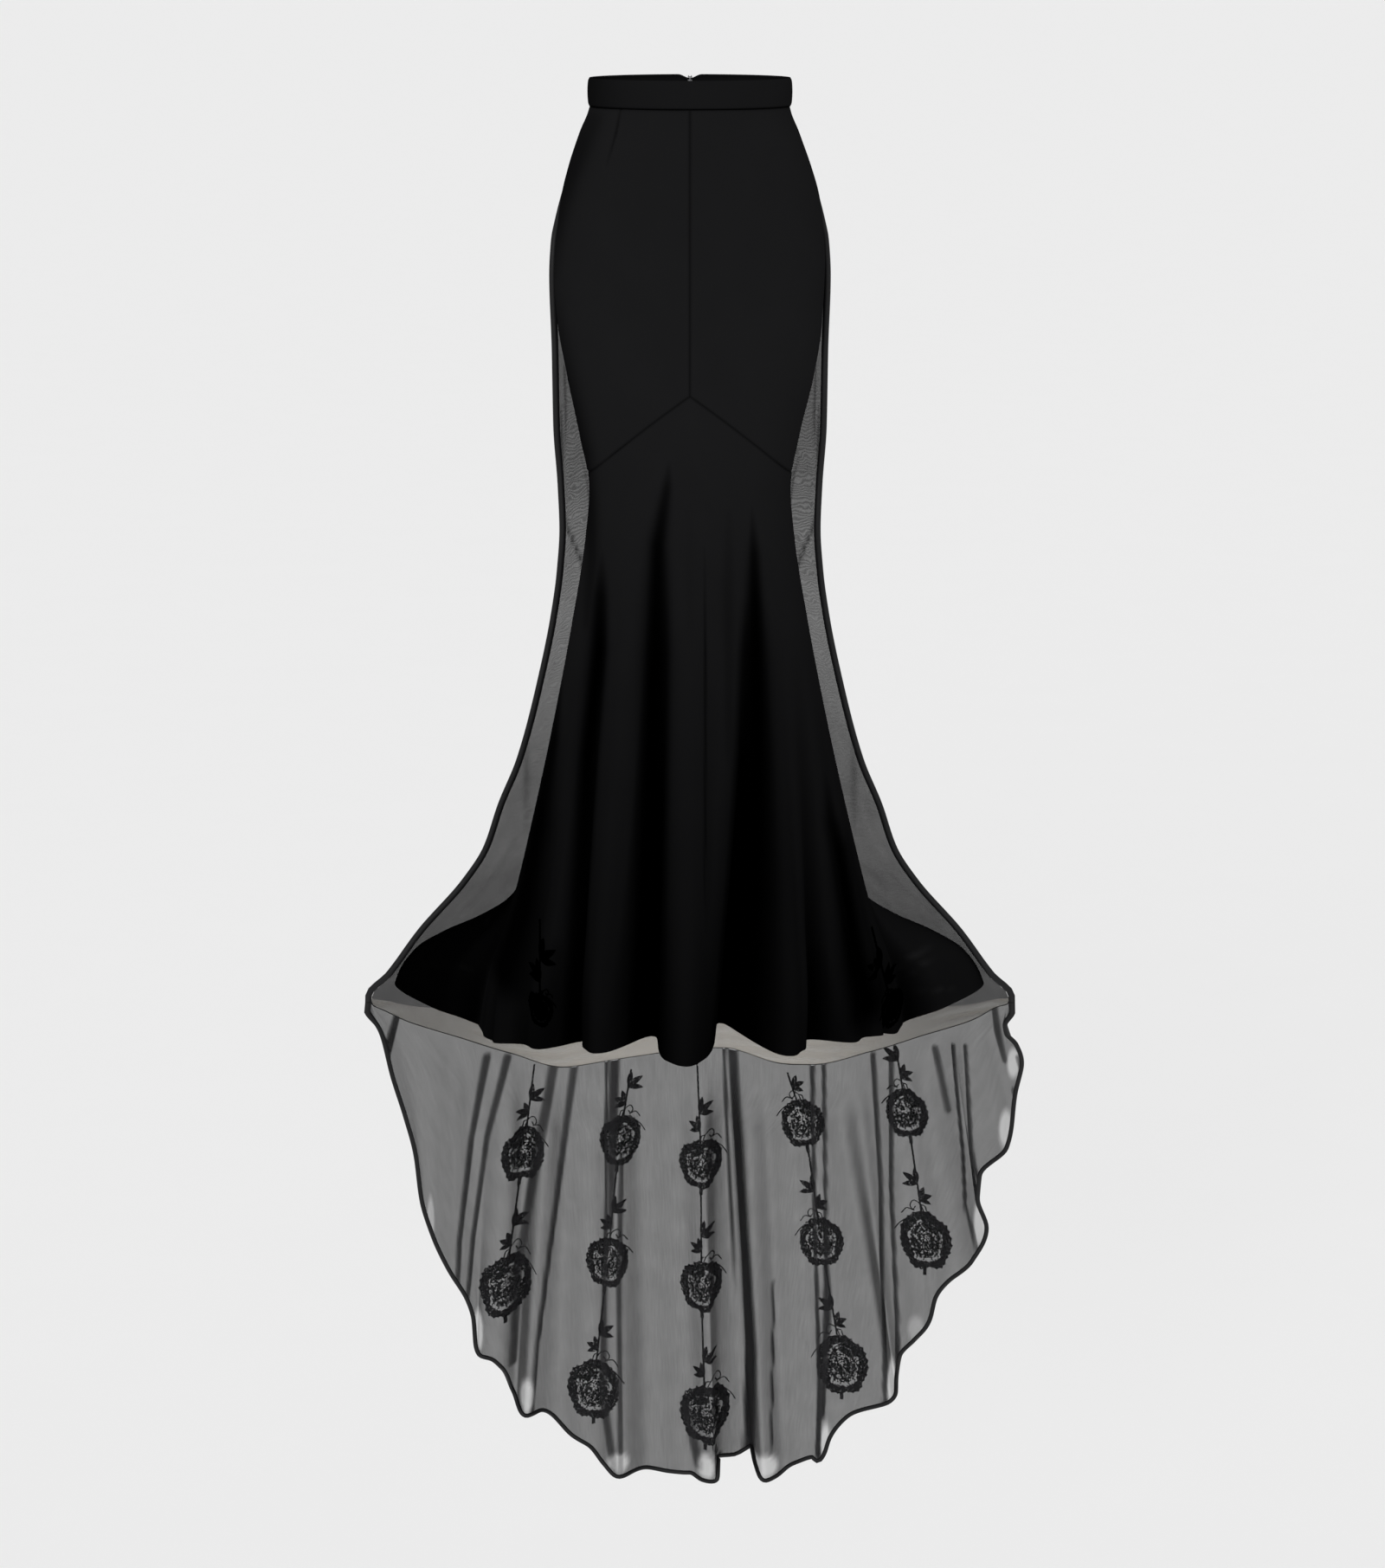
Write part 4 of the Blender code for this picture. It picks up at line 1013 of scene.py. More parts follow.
def finished(name, mesh, finishes, nodes, body="skirt"):
    """Puts a mesh in the scene as a piece that rides on a body in place of its solids."""
    for finish in finishes:
        mesh.materials.append(finish)
    piece = bpy.data.objects.new(name, mesh)
    bpy.context.scene.collection.objects.link(piece)
    if nodes:
        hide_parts(*nodes)
    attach(piece, body)
    return piece


def cloth_mesh(name, outer, thickness, masks=None):
    """A closed shell from a grid of points. Seen from outside, rows go down and columns right."""
    rows, columns = outer.shape[:2]
    count = rows * columns
    inner = outer - grid_normals(outer) * thickness
    at = np.arange(count).reshape(rows, columns)
    a, b, c, d = at[:-1, :-1], at[1:, :-1], at[1:, 1:], at[:-1, 1:]
    quads = [np.stack([a, b, c, d], axis=-1), count + np.stack([a, d, c, b], axis=-1)]
    ring = np.concatenate([at[0], at[1:, -1], at[-1, -2::-1], at[-2::-1, 0]])
    rim = np.stack([ring[:-1], ring[1:], count + ring[1:], count + ring[:-1]], axis=-1)
    faces = np.concatenate([part.reshape(-1, 4) for part in (*quads, rim)])
    mesh = bpy.data.meshes.new(name)
    points = np.concatenate([outer.reshape(-1, 3), inner.reshape(-1, 3)])
    mesh.from_pydata(points.tolist(), [], faces.tolist())
    across, down = arcs(outer)
    flat = np.stack([across - across[:, columns // 2][:, None], -down], axis=-1).reshape(-1, 2)
    corners = np.empty(len(mesh.loops), dtype=np.int32)
    mesh.loops.foreach_get("vertex_index", corners)
    layer = mesh.uv_layers.new(name="cut")
    layer.data.foreach_set("uv", flat[corners % count].ravel())
    for key, values in (masks or {}).items():
        both = np.tile(np.asarray(values, np.float32).ravel(), 2)
        mesh.attributes.new(key, "FLOAT", "POINT").data.foreach_set("value", both)
    mesh.shade_smooth()
    mesh.set_sharp_from_angle(angle=SHARP_ANGLE)
    return mesh


def tube_mesh(name, path, across, through, half_across, half_through, sides=12):
    """A closed soft binding or cord: an oval section carried along a path."""
    turns = 2 * math.pi * np.arange(sides) / sides
    oval = half_across * np.cos(turns)[:, None, None] * across
    oval = oval + half_through * np.sin(turns)[:, None, None] * through
    rings = (path[None] + oval).transpose(1, 0, 2)
    count = len(path)
    faces = [tuple(reversed(range(sides))), tuple((count - 1) * sides + k for k in range(sides))]
    for i in range(count - 1):
        for k in range(sides):
            a, b = i * sides + k, i * sides + (k + 1) % sides
            faces.append((a, b, b + sides, a + sides))
    mesh = bpy.data.meshes.new(name)
    mesh.from_pydata(rings.reshape(-1, 3).tolist(), [], faces)
    run = np.pad(np.linalg.norm(np.diff(path, axis=0), axis=-1).cumsum(), (1, 0))
    layer = mesh.uv_layers.new(name="cut")
    girth = math.pi * (half_across + half_through)
    for face in mesh.polygons:
        for corner in face.loop_indices:
            i, k = divmod(mesh.loops[corner].vertex_index, sides)
            layer.data[corner].uv = (girth * k / sides, run[i])
    mesh.shade_smooth()
    mesh.set_sharp_from_angle(angle=SHARP_ANGLE)
    return mesh


def runs(path):
    """Which way a path runs at each of its points, and the cosine of half the angle it turns by."""
    leg = unit(np.diff(path, axis=0))
    both = np.concatenate([leg[:1], leg]) + np.concatenate([leg, leg[-1:]])
    return unit(both), np.linalg.norm(both, axis=-1, keepdims=True) / 2


class Value:
    """A number that varies over a surface. Arithmetic on it adds Math nodes to its finish."""

    def __init__(self, finish, socket):
        self.finish = finish
        self.socket = socket

    def maths(self, operation, *others):
        inputs = dict(enumerate((self, *others)))
        return self.finish.node("ShaderNodeMath", {"operation": operation}, inputs)

    def __add__(self, other):
        return self.maths("ADD", other)

    def __sub__(self, other):
        return self.maths("SUBTRACT", other)

    def __rsub__(self, other):
        return self.maths("MULTIPLY", -1.0) + other

    def __mul__(self, other):
        return self.maths("MULTIPLY", other)

    def __gt__(self, other):
        return self.maths("GREATER_THAN", other)

    __radd__ = __add__
    __rmul__ = __mul__


class Finish:
    """A material on one Principled shader, with its constants set on the shader's own sockets. Each
    node of it comes from the node method, which returns a Value for arithmetic."""

    def __init__(self, name, **constants):
        self.material = bpy.data.materials.new(name)
        self.material.use_nodes = True
        self.tree = self.material.node_tree
        self.shader = self.tree.nodes["Principled BSDF"]
        for key, value in constants.items():
            self.shader.inputs[key.replace("_", " ")].default_value = value

    def node(self, kind, settings=None, inputs=None, output=0):
        made = self.tree.nodes.new(kind)
        for key, value in (settings or {}).items():
            setattr(made, key, value)
        for key, value in (inputs or {}).items():
            self.feed(made.inputs[key], value)
        return Value(self, made.outputs[output])

    def feed(self, socket, value):
        if isinstance(value, Value):
            self.tree.links.new(value.socket, socket)
        else:
            socket.default_value = value

    def set(self, key, value):
        self.feed(self.shader.inputs[key], value)

    def cut(self, across=1.0, along=1.0):
        """The piece's own cut in metres, stretched for patterns that run one way."""
        place = self.node("ShaderNodeUVMap", {"uv_map": "cut"})
        return self.node("ShaderNodeMapping", None, {"Vector": place, "Scale": (across, along, 1.0)})

    def noise(self, vector, scale, detail=2.0):
        inputs = {"Vector": vector, "Scale": scale, "Detail": detail}
        return self.node("ShaderNodeTexNoise", None, inputs)

    def axes(self, vector):
        parts = self.tree.nodes.new("ShaderNodeSeparateXYZ")
        self.feed(parts.inputs[0], vector)
        return [Value(self, output) for output in parts.outputs]

    def mask(self, name):
        """A value painted on the mesh."""
        return self.node("ShaderNodeAttribute", {"attribute_name": name}, None, "Fac")

    def tint(self, dark, light, factor):
        """A colour between two, by a factor from 0 to 1."""
        inputs = {0: factor, 6: (*dark, 1.0), 7: (*light, 1.0)}
        return self.node("ShaderNodeMix", {"data_type": "RGBA"}, inputs, 2)

    def toned(self, colour, tone):
        """Sets a colour that is painted lighter or darker on the mesh, to twice as light at most. The
        crepe, waistband and pale band carry painted light and shade in that tone.
        """
        tone = tone * self.mask("tone") * 0.5
        self.set("Base Color", self.tint((0.0, 0.0, 0.0), shaded(colour, 2.0), tone))

    def bump(self, height, distance, strength=1.0):
        inputs = {"Height": height, "Distance": distance, "Strength": strength}
        self.set("Normal", self.node("ShaderNodeBump", None, inputs))


# The weaves and threads, in metres, and how closely each noise is set over the cut.
WEFT_PITCH = 0.0011
WARP_PITCH = 0.0009
WEAVE_SLANT = 0.35
PEBBLE_SCALE = 1400.0
SLUB_SCALES = (90.0, 900.0)
WORN_SCALE = 14.0
GRAIN_SCALE = 620.0
STREAK_SCALES = (620.0, 26.0)
CLOUD_SCALE = 26.0
DRIFT_SCALES = (34.0, 60.0)
RIPPLE_PITCH = 0.0042
RIB_PITCH = 0.0012
PORE_SCALE = 370.0


def shaded(colour, share):
    """A colour made lighter or darker by a share."""
    return tuple(min(1.0, part * share) for part in colour[:3])


def waves(value, pitch):
    """A wave from 0 to 1 that repeats every pitch metres."""
    return (value * (2 * math.pi / pitch)).maths("SINE") * 0.5 + 0.5


def crepe_finish(name, colour, roughness):
    """A dull pebbled weave, with slubs along and across."""
    finish = Finish(name, Specular_IOR_Level=0.0)
    place = finish.cut()
    pebble = finish.noise(place, PEBBLE_SCALE, 3.0)
    slub = finish.noise(finish.cut(*SLUB_SCALES), 1.0)
    broad = finish.noise(place, WORN_SCALE)
    across, lengthwise, _ = finish.axes(place)
    weave = waves(across + lengthwise * WEAVE_SLANT, WEFT_PITCH) * waves(lengthwise, WARP_PITCH)
    finish.toned(colour, (pebble * 0.5 + broad * 0.5) * 0.3 + 0.85)
    finish.set("Roughness", slub * 0.10 + (roughness - 0.05))
    finish.bump(pebble * 0.6 + weave * 0.4 + slub * 0.3, 0.00012, 0.5)
    return finish.material


def net_finish(name, colour, pitch, streak, ripple):
    """A fine open mesh. Its threads, streaks and ripples thin and thicken the cover that is painted
    on each piece."""
    finish = Finish(name, Specular_IOR_Level=0.12, Roughness=0.75)
    place = finish.cut()
    across, lengthwise, _ = finish.axes(place)
    threads = waves(across, pitch) * 0.5 + waves(lengthwise, pitch) * 0.5
    grain = finish.noise(place, GRAIN_SCALE)
    streaks = finish.noise(finish.cut(*STREAK_SCALES), 1.0, 3.0)
    cloud = finish.noise(place, CLOUD_SCALE)
    drift = finish.noise(finish.cut(*DRIFT_SCALES), 1.0, 1.0)
    lapped = waves(lengthwise + drift * 0.020 + across * 0.12, RIPPLE_PITCH)
    cover = finish.mask("cover")
    cover = cover * (threads * 0.06 + grain * 0.10 + (streaks - 0.5) * streak + 0.91)
    cover = cover + (cloud - 0.5) * 0.07 + (lapped - 0.5) * finish.mask("ripple") * ripple
    finish.set("Alpha", cover.maths("MINIMUM", 1.0).maths("MAXIMUM", 0.0))
    finish.toned(colour, (threads * 0.5 + cloud * 0.5) * 0.6 + 0.7)
    finish.bump(threads, 0.0001, 0.4)
    return finish.material


def lace_finish(name, colour, open_share):
    """Corded lace: twisted thread with pin holes between its stitches."""
    finish = Finish(name, Specular_IOR_Level=0.15, Roughness=0.6)
    place = finish.node("ShaderNodeTexCoord", None, None, "Object")
    cells = finish.node("ShaderNodeTexVoronoi", None, {"Vector": place, "Scale": PORE_SCALE})
    grain = finish.noise(place, 900.0, 2.0)
    finish.set("Alpha", cells > open_share)
    finish.set("Base Color", finish.tint(shaded(colour, 0.6), shaded(colour, 1.6), grain))
    finish.bump(cells + grain * 0.5, 0.0003, 0.7)
    return finish.material


def binding_finish(name, colour):
    """A satin strip with a fine rib across it."""
    finish = Finish(name, Specular_IOR_Level=0.2, Roughness=0.5)
    place = finish.cut()
    _, lengthwise, _ = finish.axes(place)
    rib = waves(lengthwise, RIB_PITCH)
    grain = finish.noise(place, 800.0)
    tone = rib * 0.5 + grain * 0.5
    finish.set("Base Color", finish.tint(shaded(colour, 0.8), shaded(colour, 1.3), tone))
    finish.bump(rib + grain * 0.5, 0.0001, 0.5)
    return finish.material


def metal_finish(name, colour):
    """Dark lacquered metal with rubbed places."""
    finish = Finish(name, Metallic=1.0)
    place = finish.node("ShaderNodeTexCoord", None, None, "Object")
    wear = finish.noise(place, 700.0, 3.0)
    finish.set("Base Color", finish.tint(shaded(colour, 0.7), shaded(colour, 1.6), wear))
    finish.set("Roughness", wear * 0.2 + 0.25)
    return finish.material


def make_waistband(context):
    end = 180 - math.degrees(SEAM_GAP / 2 / BAND_BACK)
    near = 180 - BAND_NOTCH_HALF_ANGLE
    notch = np.linspace(near, end, NOTCH_COLUMNS)
    ring = np.linspace(-near, near, WAISTBAND_COLUMNS)
    columns = np.concatenate([-notch[:0:-1], ring, notch[1:]])
    dip = BAND_NOTCH * bump(180 - np.abs(columns), BAND_NOTCH_HALF_ANGLE)
    top = dip - BAND_HEIGHT / 2
    share = spaced(BAND_HEIGHT, WAISTBAND_ROWS)[:, None]
    v = top + (BAND_HEIGHT / 2 + BAND_TUCK - top) * share
    u = np.broadcast_to(columns, v.shape)
    points = band_surface(u, v)
    rolled = sewn(points, ("top", "bottom"), BAND_ROLL, BAND_ROLL_REACH)
    points = points + grid_normals(points) * rolled[..., None]
    # Painted shade on the band's side at the wearer's right.
    side_shade = BAND_PAINTED_SHADE * np.exp(-(((u + BAND_SHADE_ANGLE) / BAND_SHADE_SPREAD) ** 2))
    # Painted shade where the band is tucked over the panels.
    tucked = BAND_TUCK_SHADE * np.clip((v - BAND_HEIGHT / 2) / BAND_TUCK_FADE + 1, 0, 1)
    masks = {"tone": (1 - side_shade) * (1 - tucked)}
    mesh = cloth_mesh("waistband_cloth", points, BAND_THICKNESS, masks)
    finished("waistband_cloth", mesh, [finishes["band"]], ["waistband"])


def in_front(points):
    """Whether each point is far enough forward to be drawn on from the front."""
    return points[..., 1] < FRONT_ENDS


def crepe_painted_shade(points, u, v, sunk):
    """How light the crepe is painted: painted shade black in its seams, deep in its folds and along the
    drawn lines, painted light and shade on the wings, and painted shade duller towards the floor.
    """
    reach = np.hypot(points[..., 0], points[..., 1])
    wide = max(3, int(HOLLOW_SPREAD / abs(u[0, -1] - u[0, 0]) * u.shape[1]))
    spread = np.hanning(2 * wide + 3)[1:-1]
    spread = spread / spread.sum()
    padded = np.pad(reach, ((0, 0), (wide, wide)), mode="reflect", reflect_type="odd")
    mean = np.stack([np.convolve(row, spread, mode="valid") for row in padded])
    hollow = HOLLOW_SHADE * np.clip((mean - reach) / HOLLOW_DEPTH, 0, 1)
    level = along(CREPE_PAINTED_LIGHT, "down", "level", v)
    behind = np.clip((np.abs(u) - SIDE_SEAM_ANGLE) / WING_FADE, 0, 1) * (v > WING_TOP)
    level = level * (1 - np.where(u < 0, WING_SHADE_RIGHT, WING_SHADE_LEFT) * behind)
    seam = SEAM_SHADE * np.clip(-sunk / SEAM_DEPTH, 0, 1)
    shade = drawn(points, CREPE_SHADES, "shade", crispness=SHADE_CRISPNESS) * in_front(points)
    return np.clip(level * (1 - hollow) * (1 - seam) * (1 - np.clip(shade, -1, 1)), 0.0, 2.0)


def panel_bottom(angle):
    return chevron_down(angle) - SEWN_GAP / 2


def flounce_top(angle):
    return chevron_down(angle) + SEWN_GAP / 2


def panel(name, span, drop, edges, extra):
    """A crepe piece over a span of angles and a drop from one line to another down the skirt. Each
    ends with its count of columns or rows."""
    start, stop, count = span
    columns = start + (stop - start) * spaced(PANEL_WIDTH, count)
    top, bottom, rows = drop
    high, low = top(columns), bottom(columns)
    share = spaced(PANEL_LENGTH, rows)[:, None]
    v = high + (low - high) * share
    u = np.broadcast_to(columns, v.shape)
    points = skirt_surface(u, v)
    sunk = sewn(points, edges)
    tone = crepe_painted_shade(points, u, v, sunk)
    points = points + grid_normals(points) * (sunk + extra(points, u, v))[..., None]
    mesh = cloth_mesh(name + "_cloth", points, CREPE_THICKNESS, {"tone": tone})
    finished(name + "_cloth", mesh, [finishes["crepe"]], [name])


def upper_detail(points, u, v):
    """The dart, and how the cloth gives a little over the hips."""
    gap, place = near_line(points, DART)
    front = (u < 0) & (u > -SIDE_SEAM_ANGLE)
    depth = DART_DEPTH * np.interp(place, (0, 2.0, 3.0), (1.0, 0.8, 0.0))
    soft = HIP_WAVE * np.sin(np.radians(u * 7)) * np.sin(v * 34.0)
    return soft - np.where(front, depth * np.exp(-((gap / DART_HALF_WIDTH) ** 2)), 0.0)


def flounce_detail(points, u, v):
    """Creases, and the slight waves that a hanging flounce has between its folds."""
    grown = np.clip((v - FLOUNCE_WAVE_TOP) / FLOUNCE_WAVE_RISE, 0, 1)
    soft = FLOUNCE_WAVE * grown * np.sin(np.radians(u * 11.0) + v * 3.0)
    pressed = SHADE_DEPTH * drawn(points, CREPE_SHADES, "shade") * (np.abs(u) < PRESSED_ANGLE)
    return soft + (drawn(points, CREPE_CREASES, "depth") - pressed) * in_front(points)


def make_upper_panels(context):
    half_gap = math.degrees(SEWN_GAP / 2 / BODY["front"][1])
    side = SIDE_SEAM_ANGLE
    top = partial(np.full_like, fill_value=WAIST_SEAM)
    for name, start, stop in (
        ("front_left", half_gap, side - half_gap),
        ("front_right", half_gap - side, -half_gap),
        ("back_left", side + half_gap, 180 - half_gap),
        ("back_right", half_gap - 180, -side - half_gap),
    ):
        span = (start, stop, PANEL_COLUMNS)
        drop = (top, panel_bottom, PANEL_ROWS)
        panel(name, span, drop, ("left", "right", "top", "bottom"), upper_detail)


def make_flounces(context):
    half_gap = math.degrees(SEWN_GAP / 2 / BODY["front"][1])
    side = SIDE_SEAM_ANGLE
    for name, start, stop, (columns, rows) in (
        ("front_flounce", half_gap - side, side - half_gap, FRONT_FLOUNCE_GRID),
        ("back_flounce_left", side + half_gap, 180 - half_gap, BACK_FLOUNCE_GRID),
        ("back_flounce_right", half_gap - 180, -side - half_gap, BACK_FLOUNCE_GRID),
    ):
        span = (start, stop, columns)
        drop = (flounce_top, hem_down, rows)
        panel(name, span, drop, ("left", "right", "top"), flounce_detail)


def net_detail(side, down):
    """Soft folds round the back, which grow towards the hem and end at its seam."""
    grown = np.clip((down - NET_FOLD_TOP) / NET_FOLD_GROWS, 0, 1) ** 1.3
    grown = grown * np.clip((band_top(side) - down) / NET_FOLD_ENDS, 0, 1)
    behind = np.clip((NET_FOLD_SIDE - np.abs(side)) / NET_FOLD_FADE, 0, 1)
    folds = np.sin(side * 29.0 + np.sin(down * 3.0)) * 0.6 + np.sin(side * 47.0 + 1.0) * 0.4
    return NET_FOLD_DEPTH * grown * behind * (folds * 0.5 + 0.5)


def make_overlays(context):
    cover = context.scene.skirt_net.side_cover
    half_gap = SEWN_GAP / 2 / (math.pi / 2 * NET["back"][0])
    for name, start, stop in (("overlay_right", -1.0, -half_gap), ("overlay_left", half_gap, 1.0)):
        columns = start + (stop - start) * spaced(PANEL_WIDTH, NET_COLUMNS)
        share = np.linspace(0, 1, NET_ROWS)[:, None]
        v = WAIST_SEAM + (band_top(columns) - SEWN_GAP - WAIST_SEAM) * share
        u = np.broadcast_to(columns, v.shape)
        points = net_surface(u, v)[:, ::-1]
        u, v = u[:, ::-1], v[:, ::-1]
        points = points + grid_normals(points) * net_detail(u, v)[..., None]
        creased = drawn(points, NET_CREASES, "cover", np.sign(start + stop))
        creased = creased * (np.abs(u) > NET_CREASE_SIDE)
        points = points + grid_normals(points) * (creased * NET_CREASE_RISE)[..., None]
        masks = {
            "cover": cover * along(NET_RIPPLE, "down", "cover", v) + creased,
            "ripple": along(NET_RIPPLE, "down", "strength", v),
            "tone": np.ones(v.shape),
        }
        mesh = cloth_mesh(name + "_net", points, NET_THICKNESS, masks)
        finished(name + "_net", mesh, [finishes["side_net"]], [name])


def make_pale_band(context):
    sheer = context.scene.skirt_net
    columns = train_columns()
    share = np.linspace(0, 1, PALE_ROWS)[:, None]
    v = band_top(columns) + (seam_down(columns) - band_top(columns)) * share
    u = np.broadcast_to(columns, v.shape)
    points = net_surface(u, v)[:, ::-1]
    u, v = u[:, ::-1], v[:, ::-1]
    across, down = arcs(points)
    creased = np.sin(down * 420.0 + np.sin(across * 21.0) * 2.2 + across * 6.0)
    creased = creased * np.sin(across * 9.0 + 1.0) ** 2
    points = points + grid_normals(points) * (WRINKLE_HEIGHT * creased)[..., None]
    # Its tone paints shade towards the band's sides, where its cover also thickens, and painted light
    # and shade along its wrinkles.
    middle = np.exp(-((u / PALE_MIDDLE) ** 4))
    masks = {
        "cover": sheer.band_cover + 0.05 * creased + 0.08 * (1 - middle),
        "ripple": np.zeros(v.shape),
        "tone": 0.42 + 0.70 * middle + 0.10 * creased,
    }
    mesh = cloth_mesh("pale_band_net", points, NET_THICKNESS, masks)
    finished("pale_band_net", mesh, [finishes["pale_net"]], ["pale_band"])
    path = net_surface(columns, seam_down(columns) + SEAM_GAP)
    run, _ = runs(path)
    out = unit(np.cross(run, np.array([0.0, 0.0, 1.0])))
    up = unit(np.cross(out, run))
    cord = tube_mesh("train_seam_stitching", path, up, out, SEAM_CORD_RADIUS, SEAM_CORD_RADIUS, 8)
    finished("train_seam_stitching", cord, [finishes["binding"]], [])


def train_columns():
    """Places across the train: every row of its hem, and even steps between them."""
    steps = [
        np.linspace(start, stop, max(2, math.ceil((stop - start) / TRAIN_STEP) + 1))[:-1]
        for start, stop in zip(TRAIN_HEM["side"], TRAIN_HEM["side"][1:])
    ]
    return np.append(np.concatenate(steps), TRAIN_HEM["side"][-1])


def train_grid():
    columns = train_columns()
    falls = np.linspace(0, 1, TRAIN_ROWS)[:, None]
    v = np.broadcast_to(falls, (TRAIN_ROWS, len(columns)))
    u = np.broadcast_to(columns, v.shape)
    return train_surface(u, v)[:, ::-1], u[:, ::-1], v[:, ::-1]


def fold_layers(points, side):
    """How many nets thick the folds look, from how steeply they turn away from the train's face."""
    turn = np.radians(FOLD_FAN * side)
    face = np.stack([np.sin(turn), np.cos(turn), np.zeros_like(turn)], axis=-1)
    facing = np.abs((grid_normals(points) * face).sum(axis=-1))
    return np.clip(facing, FOLD_STEEPEST, 1.0) ** -FOLD_DARKENING


def make_train(context):
    sheer = context.scene.skirt_net
    points, u, v = train_grid()
    dark = drawn(points, TRAIN_CREASES, "layers", crispness=4)
    layers = fold_layers(points, u) + np.clip(dark, 0, None) * CREASE_STRENGTH
    pale = np.zeros(v.shape)
    for across, down, wide, high, share in zip(*TRAIN_PALE.values()):
        reach = ((points[..., 0] - across) / wide) ** 2 + ((points[..., 2] + down) / high) ** 2
        pale = np.maximum(pale, share * np.clip(PALE_REACH - reach, 0, 1))
    layers = layers * (1 - pale * PALE_STRENGTH)
    pressed = TRAIN_PRESS * np.clip(dark, 0, 2) * np.clip((1 - v) / TRAIN_PRESS_FADE, 0, 1)
    points = points - grid_normals(points) * pressed[..., None]
    cover = 1 - (1 - sheer.train_cover) ** layers
    masks = {"cover": cover, "ripple": np.zeros(v.shape), "tone": np.ones(v.shape)}
    mesh = cloth_mesh("train_net", points, NET_THICKNESS, masks)
    finished("train_net", mesh, [finishes["train_net"]], ["train"])


def make_bindings(context):
    """Along the net's free edges and round the train's hem, each just past the cloth's edge, and
    mitred where they meet at the train's corners."""
    columns = train_columns()
    columns = np.concatenate([columns[:1], columns, columns[-1:]])
    fall = np.ones(len(columns))
    fall[[0, -1]] = 0.0
    hem_path = train_surface(columns, fall)
    run, _ = runs(hem_path)
    turn = np.radians(BINDING_FAN * columns)
    face = np.stack([np.sin(turn), np.cos(turn), np.zeros_like(turn)], axis=1)
    away = unit(np.cross(face, run))
    out = unit(np.cross(run, away))
    for name, side, corner in (("side_binding_right", -1.0, 0), ("side_binding_left", 1.0, -1)):
        down = np.linspace(WAIST_SEAM + SEAM_GAP, TRAIN_SEAM["down"][corner], BINDING_ROWS)
        edge = net_surface(np.full(len(down), side), down)
        run, _ = runs(edge)
        through = unit(np.cross(run, np.array([side, 0.0, 0.0])))
        across = unit(np.cross(through, run))
        both = across[-1] + away[corner]
        across[-1] = away[corner] = 2 * both / (both @ both)
        path = edge + across * BINDING_ACROSS
        mesh = tube_mesh(name + "_strip", path, across, through, BINDING_ACROSS, BINDING_THROUGH)
        finished(name + "_strip", mesh, [finishes["binding"]], [name])
    narrower = HEM_NARROWER * np.clip((1 - np.abs(columns)) / HEM_NARROWS_OVER, 0, 1)
    away = away * (1 - narrower)[:, None]
    hem_path = hem_path + away * BINDING_ACROSS
    mesh = tube_mesh("train_binding_strip", hem_path, away, out, BINDING_ACROSS, BINDING_THROUGH)
    finished("train_binding_strip", mesh, [finishes["binding"]], ["train_binding"])


class Ground:
    """The cloth that lace is sewn to, on its side towards +Y or -Y."""

    def __init__(self, names, side):
        points, faces = [], []
        for name in names:
            mesh = bpy.data.objects[name].data
            start = len(points)
            points.extend(tuple(vertex.co) for vertex in mesh.vertices)
            faces.extend(tuple(start + i for i in face.vertices) for face in mesh.polygons)
        self.tree = BVHTree.FromPolygons(points, faces)
        self.side = side

    def place(self, flat):
        """Points on the cloth, and its normals there, for places seen from the front."""
        points, out = [], []
        for across, up in flat.reshape(-1, 2):
            start = Vector((across, DROP_FROM * self.side, up))
            hit, normal, _, _ = self.tree.ray_cast(start, Vector((0.0, -self.side, 0.0)))
            if hit is None:
                near = points[-1] if points else (across, 0.0, up)
                hit, normal, _, _ = self.tree.find_nearest(Vector((across, near[1], up)))
            if normal.y * self.side < 0:
                normal = -normal
            points.append(tuple(hit))
            out.append(tuple(normal))
        return np.array(points).reshape(*flat.shape[:2], 3), np.array(out).reshape(*flat.shape[:2], 3)


